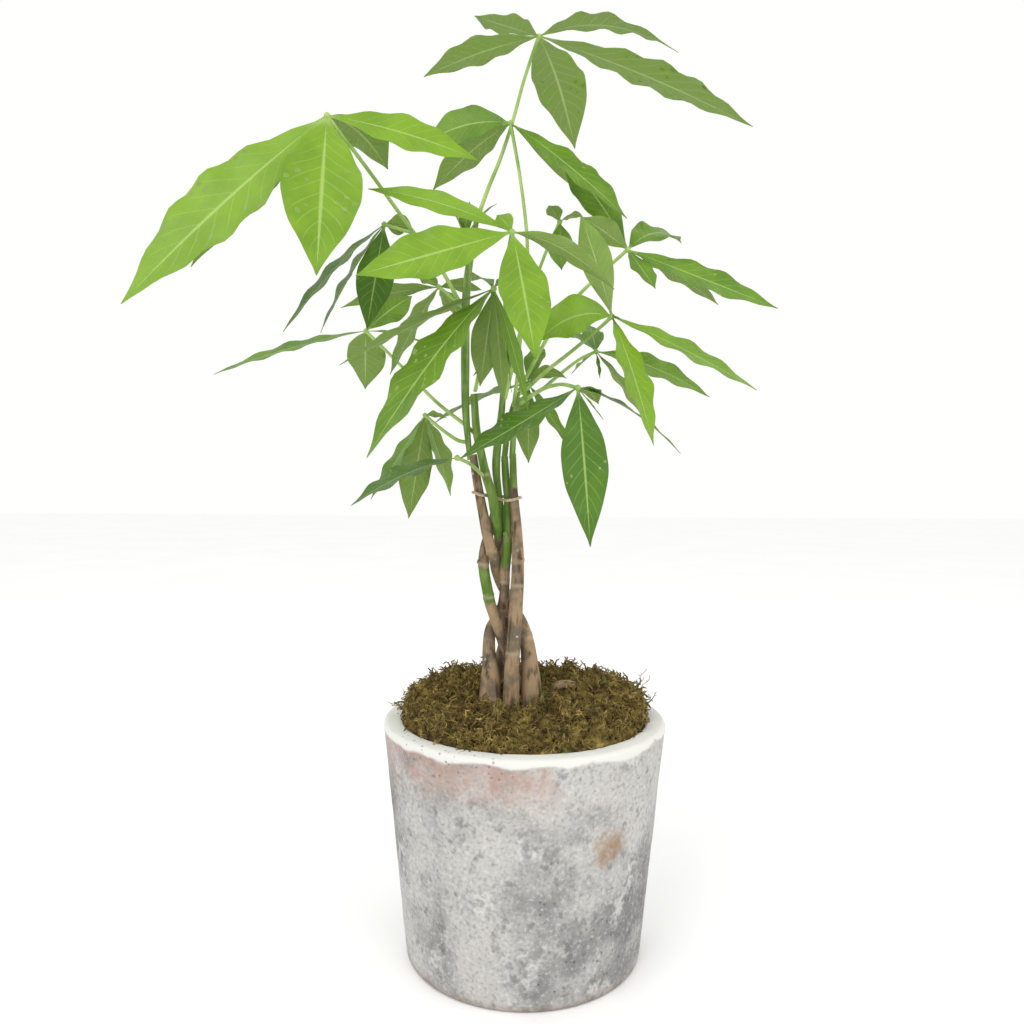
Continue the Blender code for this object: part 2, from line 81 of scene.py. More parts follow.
# The plant's plan, in millimetres: the same routes as the solids have.
STEMS = {
    "stem_left": [
        (-37.4, -2, 354, 2.7), (-34.5, -3, 336, 3.1), (-32.7, -3, 326, 3.3), (-30.1, -3, 313, 3.6),
        (-27.2, -6.5, 299, 3.8), (-24.4, -7, 288, 3.8), (-22, 0, 279, 3.7), (-20.5, 6.5, 270, 3.7),
        (-17, 10.5, 260, 3.8), (-12.3, 10, 252, 3.9), (-7.9, 8, 243, 4.1), (-2, 5, 232, 4.5),
        (2, 2, 218, 5.3), (3.9, 0, 201, 6.5), (4.7, -2, 186, 7.4), (4.9, -2, 168, 7.6),
        (4.9, -2, 138, 5.5)],
    "stem_outer": [
        (-22.5, 13, 313, 2.9), (-25, 8, 302, 3.4), (-28.6, 3.5, 289, 3.7), (-29.9, 3.4, 279, 3.8),
        (-29.2, 0.8, 270, 3.8), (-27.4, -1, 261, 3.9), (-24.9, -2, 249, 4.0), (-21.6, -3, 239, 4.0),
        (-18.4, -1, 229, 4.1), (-15.6, 2, 220, 4.1), (-12, 8, 206, 4.4), (-9.3, 11.5, 197, 4.8),
        (-7.2, 12.5, 186, 5.6), (-6.6, 13, 170, 6.2), (-6.6, 13, 138, 5)],
    "stem_inner": [
        (-15.2, 3, 353, 2.4), (-14.1, 2, 336, 2.7), (-12.6, 2, 322, 2.9), (-12.8, 1.5, 311, 3.3),
        (-12.8, -1.5, 290, 3.5), (-14.2, -1, 272, 3.5), (-14.6, -1, 258, 3.5), (-16.1, 2, 247, 3.6),
        (-20.1, 6.5, 237, 3.8), (-24.8, 6, 228, 4.1), (-25.7, 2, 215, 4.6), (-24.8, -1, 204, 5.6),
        (-24.4, -3, 193, 7.2), (-24.8, -5, 176, 8.3), (-24.8, -5, 160, 7.5), (-24.8, -5, 138, 5.5)],
    "stem_green": [
        (-36.8, -3, 396.5, 2.5), (-34.8, -5, 371, 2.8), (-31.2, -7, 354, 2.9), (-28, -7, 340, 3.1),
        (-23.7, -7, 326, 3.4), (-21.9, -6, 315, 3.4), (-19.8, -2.5, 302, 3.3), (-18.8, 5.8, 288, 3.2),
        (-17, 11.5, 278, 3.3), (-16.4, 16.5, 269, 3.5), (-15.5, 19.5, 260, 3.7), (-13.9, 20, 240, 3.9),
        (-13.6, 19.5, 226, 4.0), (-16.2, 19.5, 211, 4.3), (-20, 19, 196, 4.9), (-21.8, 19, 184, 5.5),
        (-21.8, 19, 168, 5.8), (-21.8, 19, 138, 5)],
    "stem_front": [
        (-9.3, -1, 355, 2.3), (-8.7, -2.4, 336, 2.6), (-7.8, -3.5, 322, 3.0), (-6.5, -4, 304, 3.8),
        (-5.5, -5, 290, 4.1), (-5.1, -6, 278, 4.3), (-5.4, -7, 262, 4.6), (-6.3, -8, 248, 4.9),
        (-7.1, -8, 230, 4.9), (-8.2, -8, 216, 5.0), (-9.0, -9, 202, 5.3), (-9.3, -9.5, 188, 5.7),
        (-9.3, -10, 170, 5.7), (-9.3, -10, 138, 4.6)],
}
SHOOTS = {
    "shoot_centre": [
        (-16, 9.5, 300, 2.0), (-17, 8.5, 311, 2.2), (-19, 5.5, 325, 2.4), (-21, 4, 340, 2.8),
        (-21, 3, 353, 2.9), (-19, 2, 372, 2.6), (-17, 0, 389, 2.3), (-16, -2, 407, 2.0),
        (-15, -3, 428, 1.7)],
    "shoot_tall": [
        (-40.3, -2, 358, 2.0), (-42, -2, 375, 2.4), (-43, -2, 393, 2.8), (-43.2, -1, 414, 3.0),
        (-43.2, 0, 435, 3.0), (-43, 0, 456, 2.9), (-42, 0, 477, 2.8), (-39, 0, 498, 2.3),
        (-35.5, 0, 519, 1.8)],
    "shoot_mid": [
        (-14.8, 3, 356.5, 2.1), (-13, 4, 372, 2.1), (-10, 5, 386, 2.0), (-6.5, 6, 397, 1.8)],
    "shoot_right": [
        (-9.4, -1.5, 358, 2.1), (-8.6, -2.5, 372, 2.1), (-7, -3, 386, 2.0), (-4.5, -4, 394.5, 1.8)],
}
TIE = [
    (-37.3, -4.0, 327.5), (-36.3, 0.3, 327), (-31.5, 2.6, 326), (-25, 7.5, 325), (-19, 9.3, 324.5),
    (-12, 6.6, 324), (-5.8, 1.9, 324), (-3.4, -3.2, 324), (-5.4, -7.0, 323.5), (-9, -8.3, 322.5),
    (-13.5, -5.5, 322), (-18, -2.4, 322.5), (-22.2, -1.4, 324), (-26.0, -3.2, 325), (-28.6, -5.9, 325.3),
    (-31.5, -7.9, 325.8), (-35.2, -7.2, 327)]
ROOT_PIECE = [(19, 11, 182, 2.8), (25, 10, 186.5, 3.3), (33, 8, 188, 2.9), (43, 4, 186, 2.0)]
LEAVES = {
    "leaf_crown": Leaf(
        [(-34.3, 0, 521.5), (-28, 0, 539), (-19, 0, 561), (-10.5, 3, 588), (-3, 2, 615)], (7, 0, 644), [
            Leaflet((-83, 30, -14), 3, 28, 10),
            Leaflet((-40, -70, -22), 0, 22, 10),
            Leaflet((87, -55, -37), 12, 30, 0),
            Leaflet((160, 45, -44), 4, 38, 0),
            Leaflet((31, 100, -40), 10, 40, 0)]),
    "leaf_upper_middle": Leaf(
        [(-15, -6.2, 393), (-7, -12, 427), (-1, -16, 460), (0, -16, 499),
         (-5, -13, 542)], (-12, -10, 581), [
            Leaflet((-62, 15, -9), 6, 28, -75),
            Leaflet((-58, 45, -31), 4, 26, 15),
            Leaflet((77, -30, -73), 3, 30, 30),
            Leaflet((65, 55, -40), 4, 12, -60)]),
    "leaf_left_large": Leaf(
        [(-47.2, -2, 461), (-62, -25, 485), (-76, -45, 500), (-98, -75, 527)], (-120, -90, 554), [
            Leaflet((-109, -35, -118), 4, 44, -60),
            Leaflet((-96, 35, -81), 8, 28, 15),
            Leaflet((4, -45, -104), 4, 46, -10),
            Leaflet((29, 45, -16), 7, 34, -5),
            Leaflet((89, 15, -21), 3, 26, 65)]),
    "leaf_front_upper": Leaf(
        [(-15, -5, 430.5), (-14, -50, 453), (-12, -85, 470)], (-9, -100, 483), [
            Leaflet((-88, -20, -30), 0, 32, -68),
            Leaflet((-88, 20, 31), 4, 16, -60),
            Leaflet((14, -30, -78), 2, 30, 10),
            Leaflet((62, 20, -29), 7, 14, -35),
            Leaflet((-9, 6, 11), 1, 12, -50)]),
    "leaf_left_inner": Leaf(
        [(-46, -2.5, 489), (-54, -12, 495), (-72, -28, 500)], (-94, -40, 504), [
            Leaflet((-60, -25, -74), 5, 22, -15),
            Leaflet((-41, -5, -71), 4, 28, -15),
            Leaflet((-7, -25, -72), 0, 24, -25),
            Leaflet((17, 10, 0), 1, 15, -50)]),
    "leaf_left_back": Leaf(
        [(-36.2, -0.6, 369), (-43, 6, 375), (-67, 20, 394), (-95, 38, 422)], (-123, 50, 449), [
            Leaflet((-115, -5, -34), 3, 24, -25),
            Leaflet((-6, 30, -41), 4, 32, 20),
            Leaflet((50, 0, -12), 3, 16, 15),
            Leaflet((30, 40, 34), 2, 24, 50)]),
    "leaf_left_middle": Leaf(
        [(-44.2, 4.2, 458), (-51, 9, 464)], (-64, 20, 476), [
            Leaflet((-69, -10, -17), 3, 18, 25),
            Leaflet((-15, 8, 9), 1, 13, -35),
            Leaflet((-37, 10, -62), 4, 30, 0),
            Leaflet((31, -4, -3), 2, 14, -30),
            Leaflet((16, 25, -22), 2, 20, 5)]),
    "leaf_front_middle": Leaf(
        [(-35.8, -4.5, 399), (-28, -45, 422), (-24, -72, 436)], (-20, -90, 452), [
            Leaflet((-71, -30, -102), 6, 42, -20),
            Leaflet((-96, 15, -44), 2, 20, 0),
            Leaflet((-15, 30, 11), 4, 14, 10),
            Leaflet((9, 4, 8), 1, 10, 10),
            Leaflet((21, -5, -72), 4, 12, 30),
            Leaflet((-9, 20, -56), 0, 20, 30),
            Leaflet((11, 5, -61), 2, 12, 20),
            Leaflet((6, 15, -68), 2, 12, -10)]),
    "leaf_young_upper": Leaf(
        [(-9.0, 1.3, 388), (-6, -1, 412), (-3, 3, 445), (10, 10, 490)], (23, 10, 520), [
            Leaflet((-8, -10, 8), 1, 13, 5),
            Leaflet((1, -15, -37), 0, 18, 20),
            Leaflet((17, 15, 8), 2, 9, -25)]),
    "leaf_right_upper": Leaf(
        [(-5.2, 4.8, 399.5), (16, 0, 439), (34, -5, 463), (53, -15, 480)], (68, -20, 493), [
            Leaflet((-31, -15, 17), 1, 18, 45),
            Leaflet((-43, 30, 67), 7, 26, -50),
            Leaflet((-22, 20, 11), 4, 13, -25),
            Leaflet((44, 45, 16), 9, 30, 30),
            Leaflet((99, -10, -41), 0, 28, 45),
            Leaflet((16, -20, -30), 0, 18, 10),
            Leaflet((68, 30, -31), 3, 26, 0)]),
    "leaf_right_middle": Leaf(
        [(-3.2, -5.5, 397), (13, -25, 410), (29, -42, 421), (45, -56, 433)], (54, -60, 441), [
            Leaflet((-21, -10, 60), 3, 20, 50),
            Leaflet((-47, 15, -14), 8, 30, -70),
            Leaflet((92, 0, -46), 2, 26, 32),
            Leaflet((23, -30, -82), 4, 30, -10),
            Leaflet((5, -8, -3), 0, 7, -20)]),
    "leaf_right_back": Leaf(
        [(-2.9, 6.2, 394.5), (10, 4, 400), (24, 20, 413), (40, 42, 427)], (53, 50, 434), [
            Leaflet((-2, 40, 26), 1, 17, 0),
            Leaflet((-34, 0, 16), 4, 20, -25),
            Leaflet((-18, 10, -16), 1, 18, -20),
            Leaflet((3, 0, -20), 0, 8, 25),
            Leaflet((86, 0, -34), 5, 28, 40),
            Leaflet((44, 15, -57), 2, 22, 5)]),
    "leaf_front_lower": Leaf(
        [(-3.6, -7.2, 390), (9, -40, 396), (21, -70, 397)], (31, -90, 393), [
            Leaflet((-69, -20, -43), -1, 32, -20),
            Leaflet((7, -20, -94), 4, 28, 15),
            Leaflet((70, 45, -38), 7, 16, 25),
            Leaflet((14, 20, -8), 3, 15, 0),
            Leaflet((15, -5, -19), 0, 7, -10)]),
    "leaf_middle_lower": Leaf(
        [(-6.0, 9.6, 397), (-3, 13, 402)], (1, 15, 406), [
            Leaflet((-73, 20, -30), 4, 28, -20),
            Leaflet((-39, -2, 5), 13, 20, 25),
            Leaflet((10, 25, 30), 4, 16, 0),
            Leaflet((1, 5, -57), 0, 20, -35),
            Leaflet((32, -5, -48), 1, 16, 25),
            Leaflet((27, -15, 2), 6, 13, -35)]),
    "leaf_left_lower": Leaf(
        [(-42.5, 2.0, 363), (-50, 7, 365), (-63, 15, 374)], (-74, 20, 383), [
            Leaflet((-38, -10, -61), -1, 24, -15),
            Leaflet((-14, 15, -76), 0, 26, 15),
            Leaflet((17, 20, -59), 4, 28, 15),
            Leaflet((16, -4, -2), 1, 12, -20)]),
    "leaf_left_lowest": Leaf(
        [(-30.6, -10.4, 340), (-37, -35, 347)], (-44, -60, 351), [
            Leaflet((-63, -25, -30), 4, 32, -10)]),
    "leaf_apex": Leaf(
        [(-42.7, -2.6, 496)], (-43.5, -6.5, 504), [
            Leaflet((3, 5, 26), 1, 13, 0),
            Leaflet((-8, 3, 19), 1, 9, 20),
            Leaflet((22, -4, 22), 3, 4, 0)]),
}
# Painted light and shade, leaf by leaf: BRIGHT for the lit leaves at the front and top, DARK for leaves
# shaded under the others.
PAINTED_LEAF_LIGHT = {
    "leaf_left_large": PaintedLeafLight.BRIGHT, "leaf_front_upper": PaintedLeafLight.BRIGHT, "leaf_right_middle": PaintedLeafLight.BRIGHT,
    "leaf_front_lower": PaintedLeafLight.DARK, "leaf_left_lowest": PaintedLeafLight.DARK, "leaf_left_inner": PaintedLeafLight.DARK,
}

# Heights between which a stem's bark is still green.
GREEN_BARK = {
    "stem_green": [(296, 400)],
    "stem_inner": [(276, 360)],
    "stem_front": [(334, 360)],
    "stem_outer": [(248, 274)],
}
# Heights of the scars that ring a stem.
SCARS = {
    "stem_left": (286, 224),
    "stem_outer": (276, 253),
    "stem_front": (279, 214, 262),
    "stem_inner": (264, 295),
    "stem_green": (340,),
}
# Cut twigs and knots that stand out of a stem: x, y, z and radius.
STUBS = {
    "stem_inner": [[(-12.8, -1.5, 295, 1.9), (-13.6, -4.6, 297, 1.8), (-14.4, -6.6, 298.5, 1.6)]],
    "stem_outer": [[(-29.5, 2.5, 277, 2.4), (-32.4, 2, 277.5, 2.1), (-34.4, 1.8, 278, 1.2)]],
    "stem_front": [[(-5.1, -6, 279, 2.2), (-2.2, -9, 280, 1.8), (-0.9, -9.8, 280.3, 1.0)]],
}
# Stray sprigs of moss: the foot, and how far the tip leans from it.
SPRIGS = [
    ((78, 20, 174), (15, 0, 27)), ((66, 30, 180), (3, 0, 14)), ((-80, -12, 176), (-14, 2, 4)),
    ((-70, 5, 184), (-2, 0, 11)), ((-52, 4, 188), (2, 0, 12)), ((-36, 2, 189), (1, 0, 14)),
    ((58, 52, 181), (2, 4, 10)), ((84, 8, 173), (8, 0, 8)), ((-82, 12, 178), (-4, 0, 8)),
    ((20, -70, 172), (4, -6, 6)), ((-30, -72, 171), (-6, -6, 5)), ((-60, -50, 176), (-6, -5, 7)),
]
# Side veins of a leaflet: how many, and how far along they run before the margin.
VEIN_COUNT = 12.0
VEIN_SLANT = 1.9


class Nodes:
    """A short way to write a shader's or a geometry tree's nodes and links."""

    def __init__(self, tree: bpy.types.NodeTree) -> None:
        """Work on one tree."""
        self.tree = tree

    def add(self, kind: str, inputs: dict | None = None, **settings: object) -> bpy.types.Node:
        """Add a node.

        Args:
            kind: the node's type.
            inputs: values, or sockets to link, by input name or index.
            settings: the node's own properties.

        Returns:
            The new node.
        """
        node = self.tree.nodes.new(kind)
        for name, value in settings.items():
            setattr(node, name, value)
        for key, value in (inputs or {}).items():
            if isinstance(value, Socket):
                self.tree.links.new(value, node.inputs[key])
            else:
                node.inputs[key].default_value = value
        return node

    def math(self, operation: str, *values: object) -> Socket:
        """The result of a Math node on numbers or sockets."""
        return self.add("ShaderNodeMath", dict(enumerate(values)), operation=operation).outputs[0]

    def noise(self, where: Socket, scale: float, detail: float = 4.0,
              stretch: Colour = (1, 1, 1), offset: float = 0.0) -> Socket:
        """A noise value over a position.

        Args:
            where: the position.
            scale: features per metre.
            detail: octaves.
            stretch: factors on x, y and z before the noise is read.
            offset: shifts the pattern, so that two of one scale differ.

        Returns:
            A value near 0.5, between 0 and 1.
        """
        placed = self.add("ShaderNodeMapping", {
            "Vector": where, "Scale": stretch, "Location": (offset, offset, offset)}).outputs[0]
        return self.add("ShaderNodeTexNoise", {
            "Vector": placed, "Scale": scale, "Detail": detail}).outputs[0]

    def dots(self, where: Socket, scale: float, core: float, edge: float) -> Socket:
        """Small round dots: 1 inside the core's distance, 0 past the edge's."""
        cells = self.add("ShaderNodeTexVoronoi", {"Vector": where, "Scale": scale, "Randomness": 1.0})
        return self.ramp(cells.outputs[0], core, edge, 1.0, 0.0)

    def ramp(self, value: Socket, low: float, high: float, start: float = 0.0, end: float = 1.0) -> Socket:
        """A value mapped smoothly from low..high to start..end."""
        return self.add("ShaderNodeMapRange", {
            "Value": value, "From Min": low, "From Max": high, "To Min": start, "To Max": end},
            interpolation_type="SMOOTHSTEP").outputs[0]

    def mix(self, share: Socket, first: Socket | Colour, second: Socket | Colour) -> Socket:
        """Two colours mixed by a share: 0 is the first, 1 the second."""
        node = self.add("ShaderNodeMix", {0: share}, data_type="RGBA")
        for index, value in ((6, first), (7, second)):
            if isinstance(value, Socket):
                self.tree.links.new(value, node.inputs[index])
            else:
                node.inputs[index].default_value = (*value, 1.0)
        return node.outputs[2]

    def attribute(self, name: str) -> Socket:
        """A number stored on the piece's points."""
        return self.add("ShaderNodeAttribute", attribute_name=name).outputs["Fac"]


@dataclass(frozen=True)
class Finish:
    """A procedural surface; each kind paints its own colour, roughness and relief."""

    name: str
    roughness: float = 0.6
    shine: float = 0.35

    def make(self) -> bpy.types.Material:
        """Build the material."""
        material = bpy.data.materials.new(self.name)
        material.use_nodes = True
        tree = material.node_tree
        nodes = Nodes(tree)
        shader = tree.nodes["Principled BSDF"]
        place = nodes.add("ShaderNodeTexCoord").outputs["Object"]
        colour, rough, height, depth = self.paint(nodes, place)
        shader.inputs["Specular IOR Level"].default_value = self.shine
        tree.links.new(colour, shader.inputs["Base Color"])
        if rough is None:
            shader.inputs["Roughness"].default_value = self.roughness
        else:
            tree.links.new(rough, shader.inputs["Roughness"])
        bump = nodes.add("ShaderNodeBump", {"Height": height, "Distance": depth, "Strength": 1.0})
        tree.links.new(bump.outputs[0], shader.inputs["Normal"])
        return material

    def paint(self, nodes: Nodes, place: Socket) -> tuple[Socket, Socket | None, Socket, float]:
        """Lay the surface's pattern.

        Args:
            nodes: writes into the material's tree.
            place: the position on the object.

        Returns:
            Colour, roughness or None, height, and the depth of the relief in metres.
        """
        raise NotImplementedError


@dataclass(frozen=True)
class BladeFinish(Finish):
    """Leaf blade: glossy green above with fine pale veins, paler and duller below."""

    # The top's green runs from deep to bright: painted light and shade per leaf, with random mottle.
    bright: Colour = (0.17, 0.32, 0.008)
    deep: Colour = (0.055, 0.14, 0.004)
    below: Colour = (0.19, 0.29, 0.065)
    vein: Colour = (0.40, 0.55, 0.16)
    vein_below: Colour = (0.42, 0.52, 0.22)
    midrib_below: Colour = (0.46, 0.57, 0.22)
    stalk: Colour = (0.20, 0.36, 0.06)
    mottle_scale: float = 45.0
    fine_scale: float = 420.0
    vein_half: float = 0.09
    relief: float = 0.00022

    def paint(self, nodes: Nodes, place: Socket) -> tuple[Socket, Socket | None, Socket, float]:
        """Veins follow the blade's own map; painted light and shade with random tone, underside and stalk
        are stored on its points.
        """
        chart = nodes.add("ShaderNodeUVMap", uv_map="blade").outputs[0]
        split = nodes.add("ShaderNodeSeparateXYZ", {0: chart})
        across = nodes.math("ABSOLUTE", nodes.math("MULTIPLY_ADD", split.outputs[0], 2.0, -1.0))
        along = split.outputs[1]
        light_and_tone, under, stalk = (nodes.attribute(name) for name in ("light_and_tone", "under", "stalk"))
        below = nodes.ramp(under, 0.4, 0.6)
        midrib = nodes.ramp(across, 0.015, 0.075, 1.0, 0.0)
        lean = nodes.math("MULTIPLY", across, VEIN_SLANT)
        phase = nodes.math(
            "FRACT", nodes.math("SUBTRACT", nodes.math("MULTIPLY", along, VEIN_COUNT), lean))
        middle = nodes.math("ABSOLUTE", nodes.math("SUBTRACT", phase, 0.5))
        ridge = nodes.ramp(middle, 0.0, self.vein_half, 1.0, 0.0)
        side_vein = nodes.math("MULTIPLY", ridge, nodes.ramp(across, 0.6, 0.97, 1.0, 0.0))
        mottle = nodes.noise(place, self.mottle_scale, 5.0)
        fine = nodes.noise(place, self.fine_scale, 3.0)
        # Share of the bright green: painted light and shade of the whole leaf, with random tone and mottle.
        light_and_mottle = nodes.math(
            "ADD", nodes.math("MULTIPLY", light_and_tone, 0.75), nodes.ramp(mottle, 0.3, 0.75, -0.12, 0.3))
        top = nodes.mix(light_and_mottle, self.deep, self.bright)
        top = nodes.mix(nodes.math("MULTIPLY", side_vein, 0.22), top, self.vein)
        top = nodes.mix(nodes.math("MULTIPLY", midrib, 0.55), top, self.vein)
        pale = nodes.mix(nodes.ramp(mottle, 0.3, 0.7, 0.0, 0.35), self.below, self.bright)
        pale = nodes.mix(nodes.math("MULTIPLY", side_vein, 0.3), pale, self.vein_below)
        pale = nodes.mix(nodes.math("MULTIPLY", midrib, 0.6), pale, self.midrib_below)
        colour = nodes.mix(below, top, pale)
        stem = nodes.mix(nodes.ramp(mottle, 0.3, 0.7), self.stalk, self.vein)
        colour = nodes.mix(stalk, colour, stem)
        rough = nodes.math(
            "ADD", nodes.ramp(under, 0.4, 0.6, 0.42, 0.65), nodes.ramp(fine, 0.3, 0.7, 0.0, 0.08))
        height = nodes.math(
            "ADD", nodes.math("MULTIPLY", side_vein, -0.5), nodes.math("MULTIPLY", midrib, -0.9))
        height = nodes.math("ADD", height, nodes.math("MULTIPLY", fine, 0.35))
        return colour, rough, height, self.relief


@dataclass(frozen=True)
class BarkFinish(Finish):
    """Young bark: grey-tan with darker streaks, pale specks, and green where it is still fresh."""

    tan: Colour = (0.34, 0.235, 0.135)
    grey: Colour = (0.17, 0.13, 0.085)
    dark: Colour = (0.045, 0.028, 0.012)
    green: Colour = (0.09, 0.17, 0.02)
    pale_green: Colour = (0.19, 0.28, 0.07)
    lichen: Colour = (0.62, 0.6, 0.54)
    ring: Colour = (0.5, 0.4, 0.27)
    streak_scale: float = 260.0
    streak_stretch: Colour = (1, 1, 0.16)
    cloud_scale: float = 70.0
    grain_scale: float = 900.0
    lichen_scale: float = 130.0
    relief: float = 0.0005

    def paint(self, nodes: Nodes, place: Socket) -> tuple[Socket, Socket | None, Socket, float]:
        """Streaks run up the stem; green and scar are stored on the stem."""
        green, scar = nodes.attribute("green"), nodes.attribute("scar")
        streak = nodes.noise(place, self.streak_scale, 6.0, self.streak_stretch)
        cloud = nodes.noise(place, self.cloud_scale, 4.0)
        grain = nodes.noise(place, self.grain_scale, 3.0)
        bark = nodes.mix(nodes.ramp(cloud, 0.42, 0.6), self.tan, self.grey)
        bark = nodes.mix(nodes.ramp(streak, 0.5, 0.68, 0.0, 0.8), bark, self.dark)
        flecks = nodes.dots(place, self.lichen_scale, 0.12, 0.2)
        flecks = nodes.math("MULTIPLY", flecks, nodes.ramp(cloud, 0.5, 0.62))
        bark = nodes.mix(nodes.math("MULTIPLY", flecks, 0.65), bark, self.lichen)
        skin = nodes.mix(nodes.ramp(streak, 0.4, 0.7), self.green, self.pale_green)
        ragged = nodes.math("ADD", green, nodes.ramp(cloud, 0.3, 0.7, -0.25, 0.25))
        colour = nodes.mix(nodes.ramp(ragged, 0.42, 0.58), bark, skin)
        colour = nodes.mix(nodes.math("MULTIPLY", scar, 0.6), colour, self.ring)
        height = nodes.math("ADD", streak, nodes.math("MULTIPLY", grain, 0.4))
        return colour, None, height, self.relief


@dataclass(frozen=True)
class ShootFinish(Finish):
    """Smooth green shoots with faint lengthwise lines."""

    light: Colour = (0.18, 0.30, 0.05)
    dark: Colour = (0.08, 0.16, 0.02)
    dry: Colour = (0.33, 0.40, 0.16)
    line_scale: float = 420.0
    line_stretch: Colour = (1, 1, 0.08)
    cloud_scale: float = 60.0
    relief: float = 0.0002

    def paint(self, nodes: Nodes, place: Socket) -> tuple[Socket, Socket | None, Socket, float]:
        """Fine lines run up the shoot."""
        line = nodes.noise(place, self.line_scale, 4.0, self.line_stretch)
        cloud = nodes.noise(place, self.cloud_scale, 3.0)
        colour = nodes.mix(nodes.ramp(line, 0.35, 0.65), self.dark, self.light)
        colour = nodes.mix(nodes.ramp(cloud, 0.5, 0.75, 0.0, 0.35), colour, self.dry)
        return colour, None, line, self.relief


@dataclass(frozen=True)
class MossFinish(Finish):
    """Dried moss: olive brown, with tan and a few bright green tufts."""

    brown: Colour = (0.085, 0.055, 0.018)
    olive: Colour = (0.20, 0.145, 0.035)
    straw: Colour = (0.46, 0.33, 0.12)
    green: Colour = (0.12, 0.22, 0.03)
    tuft_scale: float = 150.0
    patch_scale: float = 60.0
    relief: float = 0.0008

    def paint(self, nodes: Nodes, place: Socket) -> tuple[Socket, Socket | None, Socket, float]:
        """Colour changes from tuft to tuft."""
        tuft = nodes.noise(place, self.tuft_scale, 6.0)
        patch = nodes.noise(place, self.patch_scale, 3.0, offset=3.0)
        colour = nodes.mix(nodes.ramp(tuft, 0.35, 0.55), self.brown, self.olive)
        colour = nodes.mix(nodes.ramp(tuft, 0.55, 0.72), colour, self.straw)
        colour = nodes.mix(nodes.ramp(patch, 0.62, 0.72, 0.0, 0.7), colour, self.green)
        return colour, None, tuft, self.relief


@dataclass(frozen=True)
class PotFinish(Finish):
    """Weathered whitewash over earthenware: grey clouds, white patches, a pink band and rust marks."""

    wash: Colour = (0.48, 0.465, 0.445)
    cloud: Colour = (0.19, 0.185, 0.185)
    white: Colour = (0.70, 0.70, 0.66)
    clay: Colour = (0.44, 0.30, 0.25)
    rust: Colour = (0.30, 0.17, 0.07)
    stain: Colour = (0.15, 0.145, 0.14)
    speck: Colour = (0.16, 0.155, 0.15)
    worn_foot: Colour = (0.24, 0.17, 0.11)
    pit: Colour = (0.12, 0.11, 0.10)
    rust_spot: tuple[float, float, float] = (0.052, -0.072, 0.105)
    rust_core: float = 0.014
    rust_edge: float = 0.03
    clay_band: tuple[float, float] = (0.128, 0.152)
    rim_edge: tuple[float, float] = (0.1685, 0.1715)
    foot_edge: tuple[float, float] = (-0.005, 0.001)
    cloud_scale: float = 11.0
    patch_scale: float = 38.0
    chip_scale: float = 120.0
    speck_scale: float = 420.0
    grain_scale: float = 900.0
    pit_scale: float = 210.0
    relief: float = 0.0006

    def paint(self, nodes: Nodes, place: Socket) -> tuple[Socket, Socket | None, Socket, float]:
        """Layers from the clay out to the worn white rim."""
        height = nodes.add("ShaderNodeSeparateXYZ", {0: place}).outputs[2]
        broad = nodes.noise(place, self.cloud_scale, 8.0)
        middle = nodes.noise(place, self.patch_scale, 8.0, offset=2.0)
        small = nodes.noise(place, self.chip_scale, 8.0, offset=5.0)
        grain = nodes.noise(place, self.grain_scale, 3.0)
        clouds = nodes.math("ADD", nodes.math("MULTIPLY", broad, 0.6), nodes.math("MULTIPLY", middle, 0.4))
        colour = nodes.mix(nodes.ramp(clouds, 0.43, 0.62), self.wash, self.cloud)
        patch = nodes.math("MULTIPLY", nodes.ramp(middle, 0.52, 0.68), nodes.ramp(small, 0.4, 0.62))
        colour = nodes.mix(nodes.math("MULTIPLY", patch, 0.75), colour, self.white)
        colour = nodes.mix(nodes.ramp(small, 0.55, 0.7, 0.0, 0.6), colour, self.stain)
        speckle = nodes.noise(place, self.speck_scale, 6.0, offset=8.0)
        colour = nodes.mix(nodes.ramp(speckle, 0.5, 0.68, 0.0, 0.4), colour, self.speck)
        colour = nodes.mix(nodes.ramp(speckle, 0.3, 0.46, 0.35, 0.0), colour, self.white)
        band = nodes.math("MULTIPLY", nodes.ramp(height, *self.clay_band), nodes.ramp(broad, 0.42, 0.55))
        band = nodes.math("MULTIPLY", band, nodes.ramp(small, 0.35, 0.6, 0.25, 0.7))
        colour = nodes.mix(band, colour, self.clay)
        away = nodes.add("ShaderNodeVectorMath", {0: place, 1: self.rust_spot}, operation="DISTANCE")
        ragged = nodes.math("MULTIPLY_ADD", small, 0.024, away.outputs[1])
        colour = nodes.mix(nodes.ramp(ragged, self.rust_core, self.rust_edge, 0.75, 0.0), colour, self.rust)
        edge = nodes.math("MULTIPLY_ADD", middle, 0.014, height)
        colour = nodes.mix(nodes.ramp(edge, *self.rim_edge), colour, self.white)
        foot = nodes.math("MULTIPLY_ADD", middle, -0.012, height)
        colour = nodes.mix(nodes.ramp(foot, *self.foot_edge, 0.45, 0.0), colour, self.worn_foot)
        pits = nodes.dots(place, self.pit_scale, 0.1, 0.2)
        pits = nodes.math("MULTIPLY", pits, nodes.ramp(broad, 0.5, 0.6))
        colour = nodes.mix(nodes.math("MULTIPLY", pits, 0.5), colour, self.pit)
        relief = nodes.math("ADD", nodes.math("MULTIPLY", small, 0.8), nodes.math("MULTIPLY", grain, 0.25))
        relief = nodes.math("SUBTRACT", nodes.math("ADD", relief, middle), pits)
        return colour, None, relief, self.relief


